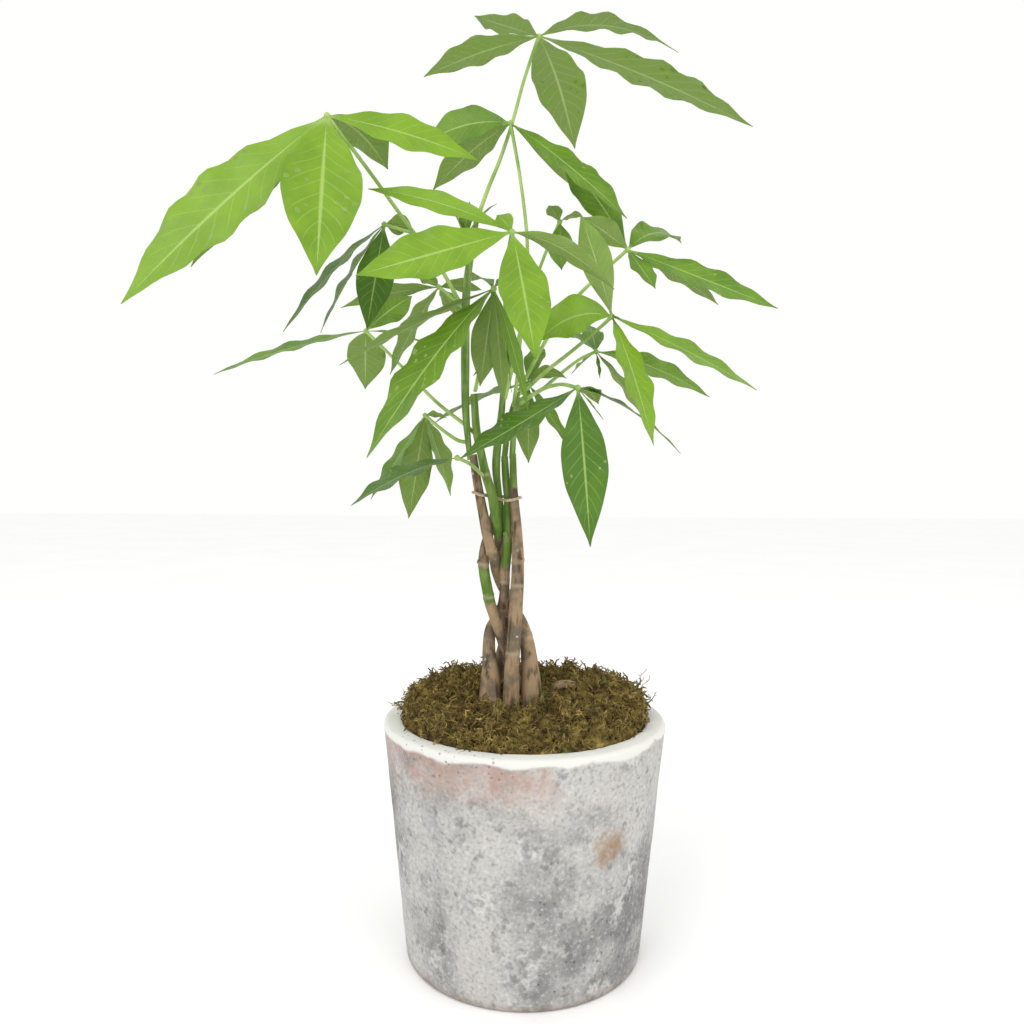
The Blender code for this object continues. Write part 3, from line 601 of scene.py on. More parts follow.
@dataclass(frozen=True)
class PlainGrain(Finish):
    """A matt surface of two near colours: soil, raffia and the floor."""

    first: Colour = (0.5, 0.5, 0.5)
    second: Colour = (0.4, 0.4, 0.4)
    scale: float = 300.0
    depth: float = 0.0005

    def paint(self, nodes: Nodes, place: Socket) -> tuple[Socket, Socket | None, Socket, float]:
        """One noise serves colour and relief."""
        grain = nodes.noise(place, self.scale, 5.0)
        return nodes.mix(nodes.ramp(grain, 0.35, 0.65), self.first, self.second), None, grain, self.depth


def link(name: str, mesh: bpy.types.Mesh) -> bpy.types.Object:
    """Put a mesh in the scene as an object at the origin."""
    piece = bpy.data.objects.new(name, mesh)
    bpy.context.scene.collection.objects.link(piece)
    return piece


def place_mesh(name: str, points: np.ndarray, faces: list, material: bpy.types.Material,
               smooth_angle: float = 60.0) -> bpy.types.Object:
    """Make an object at the origin from points in millimetres.

    Args:
        name: the piece's name.
        points: an array of x, y, z rows.
        faces: lists of point numbers.
        material: the piece's finish.
        smooth_angle: edges sharper than this, in degrees, stay sharp.

    Returns:
        The new object.
    """
    mesh = bpy.data.meshes.new(name)
    mesh.from_pydata((np.asarray(points) * MM).tolist(), [], faces)
    mesh.update()
    mesh.shade_smooth()
    mesh.set_sharp_from_angle(angle=math.radians(smooth_angle))
    mesh.materials.append(material)
    return link(name, mesh)


def settle(piece: bpy.types.Object) -> None:
    """Turn a piece's modifiers into a plain mesh."""
    bpy.context.view_layer.update()
    result = piece.evaluated_get(bpy.context.evaluated_depsgraph_get())
    mesh = bpy.data.meshes.new_from_object(result)
    piece.modifiers.clear()
    piece.data = mesh


def dress(piece: bpy.types.Object, group: bpy.types.NodeTree, values: dict[str, float]) -> None:
    """Run a geometry tree on a piece and keep the result as a plain mesh.

    Args:
        piece: the piece that the tree starts from.
        group: the tree.
        values: the tree's named inputs.
    """
    step = piece.modifiers.new(group.name, "NODES")
    step.node_group = group
    for item in group.interface.items_tree:
        if item.in_out == "INPUT" and item.name in values:
            step[item.identifier] = values[item.name]
    settle(piece)


def open_tree(name: str, *labels: str) -> tuple[Nodes, bpy.types.Node]:
    """Start a geometry tree.

    Args:
        name: the tree's name.
        labels: its number inputs.

    Returns:
        A writer for the tree, and its input node.
    """
    group = bpy.data.node_groups.new(name, "GeometryNodeTree")
    group.interface.new_socket("Geometry", in_out="INPUT", socket_type="NodeSocketGeometry")
    for label in labels:
        group.interface.new_socket(label, in_out="INPUT", socket_type="NodeSocketFloat")
    group.interface.new_socket("Geometry", in_out="OUTPUT", socket_type="NodeSocketGeometry")
    nodes = Nodes(group)
    return nodes, nodes.add("NodeGroupInput")


def close_tree(nodes: Nodes, shape: Socket, material: bpy.types.Material) -> bpy.types.NodeTree:
    """End a geometry tree: make its copies real and give them their finish."""
    real = nodes.add("GeometryNodeRealizeInstances", {0: shape})
    dressed = nodes.add("GeometryNodeSetMaterial", {"Geometry": real.outputs[0], "Material": material})
    nodes.add("NodeGroupOutput", {0: dressed.outputs[0]})
    return nodes.tree


def store(piece: bpy.types.Object, name: str, values: Sequence[float]) -> None:
    """Keep a number on each point of a piece, for its finish to read."""
    layer = piece.data.attributes.new(name, "FLOAT", "POINT")
    layer.data.foreach_set("value", np.asarray(values, dtype=np.float32))


def declare(piece: bpy.types.Object, slot: str, *nodes: str) -> None:
    """Fix a piece to the body, hide the solids that it stands for, and log its faces."""
    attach(piece, BODY)
    if nodes:
        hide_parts(*nodes)
    LOG.info("%s: %d faces", piece.name, len(piece.data.polygons))


def smooth_path(points: Path, steps: int, closed: bool = False) -> list[tuple[float, ...]]:
    """Points on the smooth curve through the given ones.

    Args:
        points: rows of x, y, z and any values that follow along.
        steps: new points for each given one.
        closed: whether the path is a loop.

    Returns:
        The denser path.
    """
    count, size = len(points), len(points[0])
    path = []
    for index in range(count if closed else count - 1):
        if closed:
            a, b, c, d = (points[(index + k) % count] for k in (-1, 0, 1, 2))
        else:
            b, c = points[index], points[index + 1]
            a = points[index - 1] if index else tuple(2 * b[k] - c[k] for k in range(size))
            last = index + 2 == count
            d = tuple(2 * c[k] - b[k] for k in range(size)) if last else points[index + 2]
        for step in range(steps):
            t = step / steps
            path.append(tuple(
                0.5 * (2 * b[k] + (c[k] - a[k]) * t + (2 * a[k] - 5 * b[k] + 4 * c[k] - d[k]) * t * t
                       + (3 * b[k] - a[k] - 3 * c[k] + d[k]) * t ** 3)
                for k in range(size)))
    if not closed:
        path.append(tuple(points[-1]))
    return path


def loop_faces(rings: int, sides: int, base: int = 0, capped: bool = True) -> list:
    """Faces that join rings of points one to the next.

    Args:
        rings: how many rings there are.
        sides: points in each ring.
        base: number of the first point.
        capped: whether the first and last rings are filled.

    Returns:
        The faces, pointing out.
    """
    faces = []
    for ring in range(rings - 1):
        low, high = base + ring * sides, base + (ring + 1) * sides
        for k in range(sides):
            after = (k + 1) % sides
            faces.append((low + k, low + after, high + after, high + k))
    if capped:
        faces.append(tuple(base + k for k in reversed(range(sides))))
        faces.append(tuple(base + (rings - 1) * sides + k for k in range(sides)))
    return faces


def tube_points(path: Path, sides: int, swell: Callable[[Vector, float], float] | None = None) -> np.ndarray:
    """Rings of points round a path of x, y, z and radius.

    Args:
        path: the centre line.
        sides: points in each ring.
        swell: gives a factor on the radius from the centre and the angle.

    Returns:
        The points, ring by ring.
    """
    centres = [Vector(point[:3]) for point in path]
    points = []
    side = None
    for index, centre in enumerate(centres):
        along = (centres[min(index + 1, len(centres) - 1)] - centres[max(index - 1, 0)]).normalized()
        side = along.orthogonal() if side is None else side
        side = (side - along * side.dot(along)).normalized()
        up = along.cross(side)
        for k in range(sides):
            angle = 2 * math.pi * k / sides
            radius = path[index][3] * (swell(centre, angle) if swell else 1.0)
            points.append(centre + (side * math.cos(angle) + up * math.sin(angle)) * radius)
    return np.array(points)


@dataclass
class Shell:
    """Several closed bodies that are gathered into one mesh."""

    points: list = field(default_factory=list)
    faces: list = field(default_factory=list)
    count: int = 0

    def take(self, body: np.ndarray, sides: int) -> int:
        """Add a body made of capped rings, and return how many points it has."""
        self.faces += loop_faces(len(body) // sides, sides, self.count)
        self.points.append(body)
        self.count += len(body)
        return len(body)

    def piece(self, name: str, material: bpy.types.Material, smooth_angle: float = 60.0) -> bpy.types.Object:
        """Make the gathered bodies one object."""
        return place_mesh(name, np.concatenate(self.points), self.faces, material, smooth_angle)


@dataclass
class Foliage:
    """All the palmate leaves: thin, folded, wavy blades on green petioles."""

    along: int = 26
    across: int = 9
    crowding: float = 0.94
    hub_gap: float = 0.4
    thickness: float = 0.5
    least_skin: float = 0.05
    edge_taper: float = 0.75
    tip_taper: float = 0.4
    fold: float = 0.138
    widest: float = 0.52
    fullness: float = 1.15
    stalk_width: float = 1.5
    tip_width: float = 0.5
    wave: float = 0.098
    wave_length: float = 45.0
    wave_shift: float = 1.3
    pillow: float = 0.056
    stalk_fade: float = 12.0
    tone_change: float = 0.2
    petiole_radius: float = 1.25
    petiole_sides: int = 10
    petiole_steps: int = 6
    smooth_angle: float = 75.0
    seed: int = 11
    knob: tuple = ((-2, 0.9), (-1, 1.7), (0, 2.0), (1, 1.7), (1.9, 0.6))
    finish: BladeFinish = field(default_factory=lambda: BladeFinish("leaf_blade"))

    def width(self, t: float, full: float) -> float:
        """Width of a blade at t, from its stalk at 0 to its drawn-out tip at 1."""
        swell = math.sin(math.pi * t ** (math.log(0.5) / math.log(self.widest))) ** self.fullness
        return max(full * swell, self.stalk_width + (self.tip_width - self.stalk_width) * t)

    def blade(self, hub: Vector, leaflet: Leaflet, phase: float) -> tuple[np.ndarray, np.ndarray]:
        """Points of one leaflet, and for each point its place across and along, and its side.

        Args:
            hub: where the leaflet starts.
            leaflet: its plan.
            phase: shifts the waves of its margin.

        Returns:
            The points, and rows of across, along and under.
        """
        reach = Vector(leaflet.reach)
        start = hub + reach.normalized() * self.hub_gap
        points, facts = [], []
        waves = 2.0 + reach.length / self.wave_length
        for t in np.linspace(0, 1, self.along):
            t = float(t) ** self.crowding
            centre = start + reach * t + Vector((0, 0, 4 * leaflet.arch * t * (1 - t)))
            run = (reach + Vector((0, 0, 4 * leaflet.arch * (1 - 2 * t)))).normalized()
            level = run.cross(Vector((0, 0, 1))).normalized()
            side = Matrix.Rotation(math.radians(leaflet.roll), 3, run) @ level
            normal = side.cross(run)
            half = self.width(t, leaflet.width) / 2
            upper, lower = [], []
            for a in np.linspace(-1, 1, self.across):
                edge = abs(a)
                ripple = math.sin(2 * math.pi * waves * t + phase + (self.wave_shift if a > 0 else 0.0))
                veins = math.cos(2 * math.pi * (t * VEIN_COUNT - edge * VEIN_SLANT))
                lift = half * (self.fold * edge + self.wave * edge ** 2 * ripple)
                lift -= half * self.pillow * veins * edge * (1 - edge)
                skin = self.thickness * (1 - self.edge_taper * edge) * (1 - self.tip_taper * t) * 0.5
                skin += self.least_skin
                place = centre + side * (half * a) + normal * lift
                upper.append((place + normal * skin, (a, t, 0.0)))
                lower.append((place - normal * skin, (a, t, 1.0)))
            ring = upper + lower[::-1]
            points += [tuple(point) for point, _ in ring]
            facts += [fact for _, fact in ring]
        return np.array(points), np.array(facts)

    def build(self, name: str, leaf: Leaf, material: bpy.types.Material) -> bpy.types.Object:
        """One leaf as one piece.

        Args:
            name: the solid it stands for.
            leaf: its plan.
            material: the blade finish.

        Returns:
            The finished piece.
        """
        rng = random.Random(f"{self.seed}{name}")
        hub = Vector(leaf.hub)
        # Painted light and shade of the whole leaf.
        painted_light = PAINTED_LEAF_LIGHT.get(name, PaintedLeafLight.MIDDLE).value
        shell = Shell()
        facts, light_and_tones, stalks = [], [], []
        for leaflet in leaf.leaflets:
            body, rows = self.blade(hub, leaflet, rng.uniform(0, 6))
            size = shell.take(body, 2 * self.across)
            facts.append(rows)
            # Painted light and shade, with a random change of tone for each leaflet.
            light_and_tones += [painted_light + rng.uniform(-self.tone_change, self.tone_change)] * size
            stalks += [max(0.0, 1 - self.stalk_fade * row[1]) for row in rows]
        route = [(*p, self.petiole_radius * (1.15 - 0.3 * i / len(leaf.petiole)))
                 for i, p in enumerate(leaf.petiole)]
        route = smooth_path([*route, (*leaf.hub, self.petiole_radius)], self.petiole_steps)
        knob = [(*(hub + Vector((0, 0, height))), radius) for height, radius in self.knob]
        for path in (route, knob):
            size = shell.take(tube_points(path, self.petiole_sides), self.petiole_sides)
            facts.append(np.tile((0.5, 0.5, 0.0), (size, 1)))
            light_and_tones += [painted_light] * size
            stalks += [1.0] * size
        piece = shell.piece(name + "_blades", material, self.smooth_angle)
        rows = np.concatenate(facts)
        store(piece, "light_and_tone", light_and_tones)
        store(piece, "stalk", stalks)
        store(piece, "under", rows[:, 2])
        chart = piece.data.uv_layers.new(name="blade")
        corners = np.zeros(len(piece.data.loops), dtype=np.int32)
        piece.data.loops.foreach_get("vertex_index", corners)
        chart.data.foreach_set("uv", np.stack([rows[corners, 0] / 2 + 0.5, rows[corners, 1]], 1).ravel())
        return piece

    def assemble(self) -> None:
        """Build and declare every leaf."""
        material = self.finish.make()
        for name, leaf in LEAVES.items():
            declare(self.build(name, leaf, material), "leaf", name)


@dataclass
class Stems:
    """Braided stems, green shoots and the piece of root."""

    sides: int = 24
    steps: int = 7
    stub_steps: int = 2
    ridge: float = 0.05
    ridge_run: float = 26.0
    ring_rise: float = 0.10
    ring_tilt: float = 1.2
    scar_height: float = 1.6
    scar_reach: float = 2.0
    green_fade: float = 14.0
    root_in: float = 0.45
    bark: BarkFinish = field(default_factory=lambda: BarkFinish("bark", 0.82))
    skin: ShootFinish = field(default_factory=lambda: ShootFinish("green_shoot", 0.5))

    def swell(self, scars: Sequence[float]) -> Callable[[Vector, float], float]:
        """The roughness of a stem's outline, with a raised ring at each scar."""
        def factor(centre: Vector, angle: float) -> float:
            """A factor on the radius at one point of the outline."""
            around = Vector((math.cos(angle) * 1.6, math.sin(angle) * 1.6, centre.z / self.ridge_run))
            size = 1.0 + self.ridge * noise.noise(around + Vector((centre.x, 0, 0)) * 0.02)
            size += 0.4 * self.ridge * noise.noise(around * 3.1)
            lean = self.ring_tilt * math.sin(angle)
            rise = max((1 - abs(centre.z - s + lean) / self.scar_height for s in scars), default=0)
            return size + self.ring_rise * max(0.0, rise)
        return factor

    def stem(self, name: str, route: Path, material: bpy.types.Material) -> bpy.types.Object:
        """One stem, with its green stretches and scars stored on it.

        Args:
            name: the solid it stands for.
            route: x, y, z and radius from the top down.
            material: the bark.

        Returns:
            The finished piece.
        """
        scars = SCARS.get(name, ())
        shell = Shell()
        path = smooth_path(route, self.steps)
        shell.take(tube_points(path, self.sides, self.swell(scars)), self.sides)
        for stub in STUBS.get(name, ()):
            shell.take(tube_points(smooth_path(stub, self.stub_steps), self.sides), self.sides)
        piece = shell.piece(name + "_bark", material)
        heights = np.concatenate(shell.points)[:, 2]
        green, scar = np.zeros(len(heights)), np.zeros(len(heights))
        for low, high in GREEN_BARK.get(name, ()):
            inside = np.minimum(heights - low, high - heights) / self.green_fade + 0.5
            green = np.maximum(green, np.clip(inside, 0, 1))
        for level in scars:
            scar = np.maximum(scar, np.clip(1 - np.abs(heights - level) / self.scar_reach, 0, 1))
        store(piece, "green", green)
        store(piece, "scar", scar)
        return piece

    def shoot(self, name: str, route: Path, material: bpy.types.Material) -> bpy.types.Object:
        """One green shoot, from a foot inside the stem that it grows from."""
        foot = tuple(a - self.root_in * (b - a) for a, b in zip(route[0], route[1]))
        path = smooth_path([foot, *route], self.steps)
        shell = Shell()
        shell.take(tube_points(path, self.sides, self.swell(())), self.sides)
        return shell.piece(name + "_skin", material)

    def assemble(self) -> None:
        bark, skin = self.bark.make(), self.skin.make()
        for name, route in STEMS.items():
            declare(self.stem(name, route, bark), "bark", name)
        for name, route in SHOOTS.items():
            declare(self.shoot(name, route, skin), "shoot", name)
        declare(self.stem("root_piece", ROOT_PIECE, bark), "bark", "root_piece")


@dataclass
class Scatter:
    """A geometry tree that scatters and turns small shapes over a surface."""

    name: str
    density: float
    smallest: float
    largest: float
    seed: int
    tilt: float = 1.2

    def tree(self, shape: bpy.types.Object, material: bpy.types.Material) -> bpy.types.NodeTree:
        """Build the tree: points on faces, and a turned copy of the shape on each."""
        nodes, entry = open_tree(self.name, "Density", "Smallest", "Largest")
        spots = nodes.add("GeometryNodeDistributePointsOnFaces", {
            "Mesh": entry.outputs["Geometry"], "Density": entry.outputs["Density"], "Seed": self.seed})
        turn = nodes.add("FunctionNodeRandomValue", {
            0: (-self.tilt, -self.tilt, 0.0), 1: (self.tilt, self.tilt, 2 * math.pi),
            "Seed": self.seed + 1}, data_type="FLOAT_VECTOR")
        size = nodes.add("FunctionNodeRandomValue", {
            2: entry.outputs["Smallest"], 3: entry.outputs["Largest"], "Seed": self.seed + 2},
            data_type="FLOAT")
        model = nodes.add("GeometryNodeObjectInfo", {"Object": shape})
        copies = nodes.add("GeometryNodeInstanceOnPoints", {
            "Points": spots.outputs["Points"], "Instance": model.outputs["Geometry"],
            "Rotation": turn.outputs[0], "Scale": size.outputs[1]})
        return close_tree(nodes, copies.outputs[0], material)

    def run(self, ground: bpy.types.Object, shape: bpy.types.Object,
            material: bpy.types.Material) -> bpy.types.Object:
        """Scatter a shape.

        Args:
            ground: the surface to cover.
            shape: what is scattered.
            material: its finish.

        Returns:
            All the copies as one plain mesh.
        """
        host = link(self.name, ground.data.copy())
        values = {"Density": self.density, "Smallest": self.smallest, "Largest": self.largest}
        dress(host, self.tree(shape, material), values)
        return host


@dataclass
class Moss:
    """Dried moss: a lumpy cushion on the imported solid's own surface, thick with curled strands."""

    lump: float = 6.5
    mound: float = 12.0
    small_mound: float = 3.6
    hollow: float = 12.0
    hollow_size: float = 26.0
    hollow_middle: tuple[float, float] = (-8.0, -22.0)
    bank: float = 5.0
    bank_start: float = 30.0
    foot: float = 158.0
    strand_from: float = 0.164
    strand_slope: float = -0.3
    weld: float = 0.00002
    levels: int = 2
    strand_points: int = 6
    sprig_points: int = 14
    sprigs_each: int = 5
    twigs_each: int = 8
    seed: int = 21
    finish: MossFinish = field(default_factory=lambda: MossFinish("dried_moss", 0.95))

    def lift(self, x: float, y: float, z: float) -> float:
        """How far a point of the cushion's top is pushed up: mounds, and a hollow before the stems."""
        away = (x - self.hollow_middle[0]) ** 2 + (y - self.hollow_middle[1]) ** 2
        push = self.lump * (2.2 * abs(noise.noise(Vector((x, y, 0)) / self.mound)) - 0.4)
        push += 0.6 * self.lump * noise.noise(Vector((x, y, z)) / self.small_mound)
        push -= self.hollow * math.exp(-away / 2 / self.hollow_size ** 2)
        outward = max(0.0, min(1.0, (math.hypot(x, y) - self.bank_start) / 25))
        behind = max(0.0, min(1.0, (y + self.bank_start) / self.bank_start))
        return push + self.bank * (outward * behind)

    def cushion(self, material: bpy.types.Material) -> bpy.types.Object:
        """The solid's surface, merged, divided and pushed up and down."""
        piece = link("moss_cushion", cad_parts["moss"].data.copy())
        piece.modifiers.new("weld", "WELD").merge_threshold = self.weld
        finer = piece.modifiers.new("finer", "SUBSURF")
        finer.subdivision_type = "SIMPLE"
        finer.levels = finer.render_levels = self.levels
        settle(piece)
        for point in piece.data.vertices:
            x, y, z = point.co / MM
            if z > self.foot:
                point.co.z += self.lift(x, y, z) * MM
        piece.data.shade_smooth()
        piece.data.materials.clear()
        piece.data.materials.append(material)
        return piece

    def strand(self, name: str, turns: float, length: float, lean: float,
               material: bpy.types.Material) -> bpy.types.Object:
        """One curled strand of a few faces, as a shape to scatter.

        Args:
            name: the shape's name.
            turns: how often it curls.
            length: its height.
            lean: how far its tip leans.
            material: its finish.

        Returns:
            The shape, hidden from renders.
        """
        path = []
        for step in range(self.strand_points):
            t = step / (self.strand_points - 1)
            curl = turns * 2 * math.pi * t
            path.append((lean * t + 1.1 * math.cos(curl) * t, 1.1 * math.sin(curl) * t,
                         length * math.sin(t * 2.0), 0.42 * (1 - 0.6 * t)))
        shell = Shell()
        shell.take(tube_points(path, 3), 3)
        piece = shell.piece(name, material)
        piece.hide_render = True
        return piece

    def top_faces(self, cushion: bpy.types.Object) -> bpy.types.Object:
        """A copy of the part of the cushion that strands grow on."""
        mesh = cushion.data
        keep = [tuple(face.vertices) for face in mesh.polygons
                if face.normal.z > self.strand_slope and face.center.z > self.strand_from]
        surface = bpy.data.meshes.new("moss_top")
        surface.from_pydata([tuple(point.co) for point in mesh.vertices], [], keep)
        surface.update()
        return bpy.data.objects.new("moss_top", surface)

    def sprigs(self, material: bpy.types.Material) -> bpy.types.Object:
        """Stray curled sprigs with short twigs, above the moss and over the rim."""
        rng = random.Random(self.seed)
        shell = Shell()
        for (x, y, z), tip in SPRIGS:
            for _ in range(self.sprigs_each):
                lean = Vector(tip) * rng.uniform(0.5, 1.0)
                lean += Vector((rng.uniform(-4, 4), rng.uniform(-4, 4), rng.uniform(-1, 3)))
                base = Vector((x + rng.uniform(-3, 3), y + rng.uniform(-3, 3), z - 2))
                curl = rng.uniform(1.0, 2.6)
                path = []
                for step in range(self.sprig_points):
                    t = step / (self.sprig_points - 1)
                    wind = curl * 2 * math.pi * t
                    sway = Vector((math.cos(wind), math.sin(wind * 1.3), math.sin(wind)))
                    path.append((*(base + lean * t + sway * 1.5 * t), 0.42 * (1 - 0.6 * t)))
                shell.take(tube_points(path, 5), 5)
                for twig in range(self.twigs_each):
                    root = Vector(path[4 + twig][:3])
                    way = Vector((rng.uniform(-1, 1), rng.uniform(-1, 1), rng.uniform(-0.4, 1)))
                    way *= rng.uniform(1.5, 3.6)
                    short = [(*(root + way * s), 0.3 * (1 - 0.6 * s)) for s in (0.0, 0.5, 1.0)]
                    shell.take(tube_points(short, 4), 4)
        return shell.piece("moss_sprigs", material)

    def assemble(self) -> None:
        material = self.finish.make()
        cushion = self.cushion(material)
        top = self.top_faces(cushion)
        short = self.strand("strand_short", 0.9, 2.0, 1.6, material)
        tall = self.strand("strand_long", 1.5, 3.0, 3.0, material)
        declare(Scatter("moss_short_strands", 128000.0, 0.8, 1.9, 5).run(top, short, material), "moss")
        declare(Scatter("moss_long_strands", 80000.0, 0.8, 2.3, 9).run(top, tall, material), "moss")
        declare(cushion, "moss", "moss")
        declare(self.sprigs(material), "moss")
        for shape in (short, tall, top):
            bpy.data.objects.remove(shape, do_unlink=True)


@dataclass
class PotBody:
    """The tapered pot, turned finely and worn a little out of true."""

    height: float = 167.8
    top_radius: float = 100.0
    base_radius: float = 83.8
    wall: float = 14.0
    floor: float = 15.0
    rim_round: float = 3.0
    foot_round: float = 2.5
    round_points: int = 8
    segments: int = 160
    wear: float = 0.35
    rim_zone: float = 6.0
    rim_drop: float = 0.5
    finish: PotFinish = field(default_factory=lambda: PotFinish("whitewashed_clay", 0.88))

    def radius(self, height: float) -> float:
        """Outer radius at a height."""
        return self.base_radius + (self.top_radius - self.base_radius) * height / self.height

    def arc(self, radius: float, height: float, size: float, start: float) -> list[tuple[float, float]]:
        """Profile points on a quarter round, from an angle in degrees."""
        angles = np.radians(np.linspace(start, start + 90, self.round_points))
        return [(radius + size * math.cos(a), height + size * math.sin(a)) for a in angles]

    def profile(self) -> list[tuple[float, float]]:
        """The outline from the base, up the outside, over the rim and down to the inner floor."""
        top = self.height - self.rim_round
        foot = self.arc(self.base_radius - self.foot_round, self.foot_round, self.foot_round, -90)
        rim = self.arc(self.top_radius - self.rim_round, top, self.rim_round, 0)
        lip = self.arc(self.top_radius - self.wall + self.rim_round, top, self.rim_round, 90)
        low = self.radius(self.floor) - self.wall
        walls = [(self.radius(h), h) for h in np.linspace(self.foot_round, top, 34)[1:-1]]
        inner = [(lip[-1][0] + (low - lip[-1][0]) * s, lip[-1][1] + (self.floor - lip[-1][1]) * s)
                 for s in np.linspace(0, 1, 10)[1:]]
        return [*foot, *walls, *rim, *lip, *inner]

    def worn(self, radius: float, height: float, angle: float) -> tuple[float, float, float]:
        """One point of the turned wall, moved a little by wear, most of all near the rim."""
        x, y = math.cos(angle), math.sin(angle)
        dent = noise.noise(Vector((x * 4, y * 4, height / 28.0)))
        dent += 0.5 * noise.noise(Vector((x * 16, y * 16, height / 7.0)))
        near_rim = max(0.0, 1 - (self.height - height) / self.rim_zone)
        size = radius + self.wear * dent * (1 + 0.8 * near_rim) * min(1.0, height / 4.0)
        drop = -self.rim_drop * near_rim * abs(noise.noise(Vector((x * 9, y * 9, 3))))
        return size * x, size * y, height + drop

    def assemble(self) -> None:
        rows = self.profile()
        turns = [2 * math.pi * k / self.segments for k in range(self.segments)]
        points = [(0.0, 0.0, 0.0), *(self.worn(*row, angle) for row in rows for angle in turns)]
        points.append((0.0, 0.0, self.floor))
        end, last = len(points) - 1, 1 + (len(rows) - 1) * self.segments
        faces = loop_faces(len(rows), self.segments, 1, capped=False)
        for k in range(self.segments):
            after = (k + 1) % self.segments
            faces += [(0, 1 + after, 1 + k), (last + k, last + after, end)]
        declare(place_mesh("pot_wall", np.array(points), faces, self.finish.make()), "pot", "pot")


@dataclass
class Tie:
    """Raffia round the braid: fibres laid side by side along one loop, swept by a geometry tree."""

    fibres: int = 5
    twists: int = 2
    steps: int = 8
    spread: float = 0.7
    fibre_radius: float = 0.36
    fibre_sides: int = 6
    finish: PlainGrain = field(default_factory=lambda: PlainGrain(
        "raffia", 0.8, 0.3, (0.66, 0.54, 0.38), (0.42, 0.31, 0.19), 700.0, 0.0003))

    def sweep(self, material: bpy.types.Material) -> bpy.types.NodeTree:
        """A tree that turns edges into round fibres."""
        nodes, entry = open_tree("fibre_sweep", "Fibre Radius")
        line = nodes.add("GeometryNodeMeshToCurve", {0: entry.outputs["Geometry"]})
        ring = nodes.add("GeometryNodeCurvePrimitiveCircle", {
            "Resolution": self.fibre_sides, "Radius": entry.outputs["Fibre Radius"]})
        skin = nodes.add("GeometryNodeCurveToMesh", {
            "Curve": line.outputs[0], "Profile Curve": ring.outputs[0]})
        return close_tree(nodes, skin.outputs[0], material)

    def assemble(self) -> None:
        loop = np.array(smooth_path(TIE, self.steps, closed=True))
        middle = loop.mean(0)
        rise = np.array((0, 0, 1))
        points, edges = [], []
        for fibre in range(self.fibres):
            base = len(points)
            for k, spot in enumerate(loop):
                turn = 2 * math.pi * (fibre / self.fibres + self.twists * k / len(loop))
                out = (spot - middle) * (1, 1, 0)
                out = out / np.linalg.norm(out)
                aside = self.spread * (out * math.cos(turn) + rise * math.sin(turn))
                points.append(tuple((spot + aside) * MM))
                edges.append((base + k, base + (k + 1) % len(loop)))
        mesh = bpy.data.meshes.new("raffia_tie")
        mesh.from_pydata(points, edges, [])
        piece = link("raffia_tie", mesh)
        dress(piece, self.sweep(self.finish.make()), {"Fibre Radius": self.fibre_radius * MM})
        piece.data.shade_smooth()
        declare(piece, "raffia", "tie")


@dataclass
class Soil:
    """Potting soil, which keeps its solid and gets a crumbly finish."""

    finish: PlainGrain = field(default_factory=lambda: PlainGrain(
        "potting_soil", 0.95, 0.2, (0.05, 0.033, 0.02), (0.10, 0.07, 0.045), 400.0, 0.001))

    def assemble(self) -> None:
        """Dress the solid."""
        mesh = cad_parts["soil"].data
        mesh.materials.clear()
        mesh.materials.append(self.finish.make())


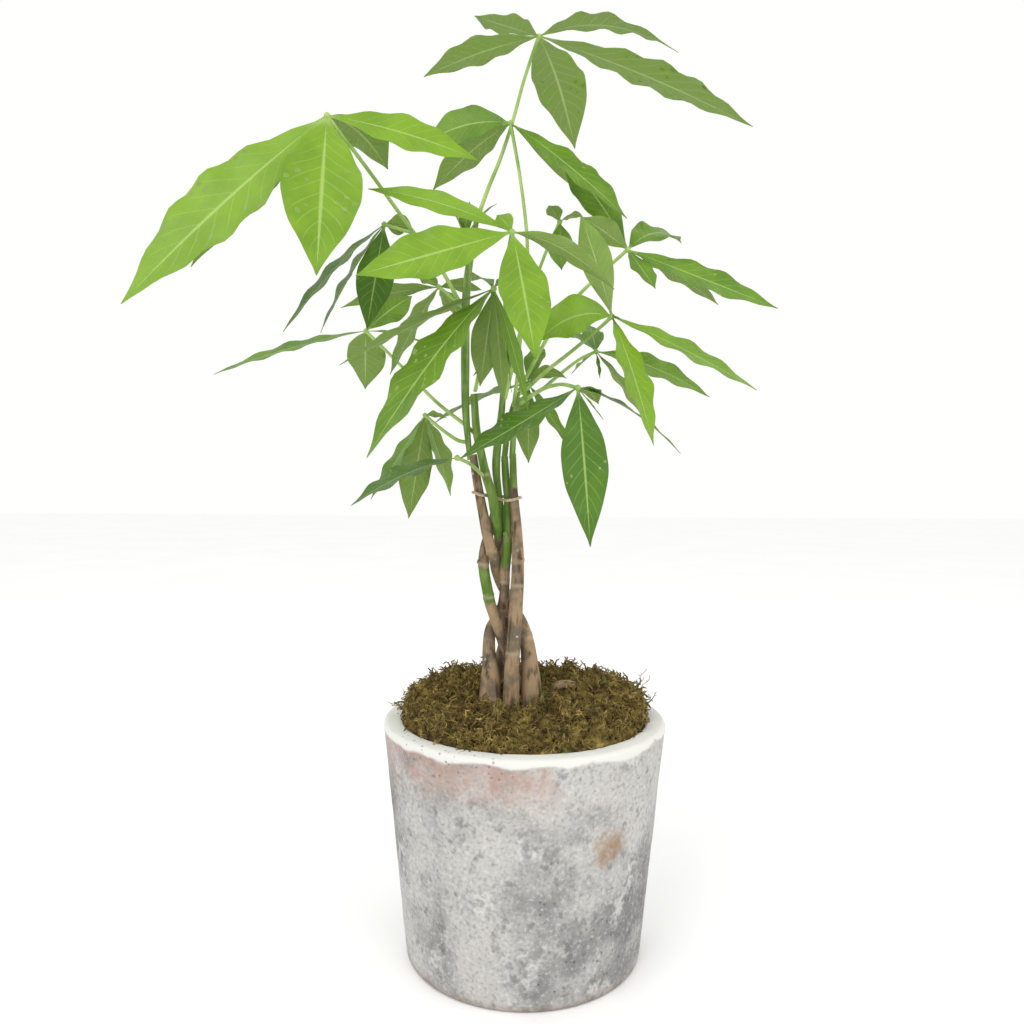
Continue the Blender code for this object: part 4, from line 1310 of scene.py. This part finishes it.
@dataclass
class Studio:
    """Pale floor, soft light and the camera, in metres and radians."""

    distance: float = 0.6167
    height: float = 0.3425
    pitch: float = 0.0469
    yaw: float = -0.0156
    roll: float = 0.0057
    lens: float = 30.5
    sensor: float = 36.0
    aim: tuple[float, float, float] = (0, 0, 0.35)
    lamp_size: float = 1.2
    floor_span: float = 6000.0
    floor_depth: float = 0.2
    finish: PlainGrain = field(default_factory=lambda: PlainGrain(
        "pale_floor", 0.9, 0.1, (0.97, 0.97, 0.965), (0.955, 0.955, 0.95), 4.0, 0.0001))

    def camera(self) -> None:
        """Stand the camera in front of the plant, level with the braid's top."""
        forward = Vector((math.sin(self.yaw) * math.cos(self.pitch),
                          math.cos(self.yaw) * math.cos(self.pitch), -math.sin(self.pitch)))
        right = Vector((math.cos(self.yaw), -math.sin(self.yaw), 0.0))
        up = right.cross(forward)
        across = right * math.cos(self.roll) + up * math.sin(self.roll)
        rise = up * math.cos(self.roll) - right * math.sin(self.roll)
        turn = Matrix((across, rise, -forward)).transposed()
        lens = bpy.data.cameras.new("camera")
        lens.lens = self.lens
        lens.sensor_width = self.sensor
        lens.clip_start = 0.01
        camera = bpy.data.objects.new("camera", lens)
        camera.matrix_world = Matrix.Translation((0, -self.distance, self.height)) @ turn.to_4x4()
        bpy.context.scene.collection.objects.link(camera)
        bpy.context.scene.camera = camera

    def lamp(self, name: str, place: tuple[float, float, float], power: float) -> None:
        """One soft square lamp aimed at the plant's middle."""
        light = bpy.data.lights.new(name, "AREA")
        light.energy = power
        light.size = self.lamp_size
        lamp = bpy.data.objects.new(name, light)
        lamp.location = place
        lamp.rotation_euler = (Vector(self.aim) - Vector(place)).to_track_quat("-Z", "Y").to_euler()
        bpy.context.scene.collection.objects.link(lamp)

    def floor(self) -> None:
        """A wide pale floor, a little under the pot's foot."""
        turns = ((-1, -1), (1, -1), (1, 1), (-1, 1))
        corners = np.array([(self.floor_span * x, self.floor_span * y, -self.floor_depth) for x, y in turns])
        place_mesh("studio_floor", corners, [(0, 1, 2, 3)], self.finish.make())

    def surroundings(self) -> None:
        """Even white light from all round, with colours shown as they are."""
        world = bpy.data.worlds.new("soft_white")
        world.use_nodes = True
        background = world.node_tree.nodes["Background"]
        background.inputs[0].default_value = (1.0, 1.0, 0.99, 1.0)
        background.inputs[1].default_value = 1.0
        bpy.context.scene.world = world
        bpy.context.scene.view_settings.view_transform = "Standard"

    def assemble(self) -> None:
        """Build the studio."""
        self.camera()
        self.floor()
        self.surroundings()
        self.lamp("key", (-0.9, -1.3, 1.6), 14.0)
        self.lamp("fill", (1.2, -1.1, 0.9), 7.0)


def main() -> None:
    """Build the plant part by part."""
    for section in (Studio(), PotBody(), Soil(), Stems(), Tie(), Foliage(), Moss()):
        section.assemble()


if __name__ == "__main__":
    logging.basicConfig(level=logging.INFO)
    main()
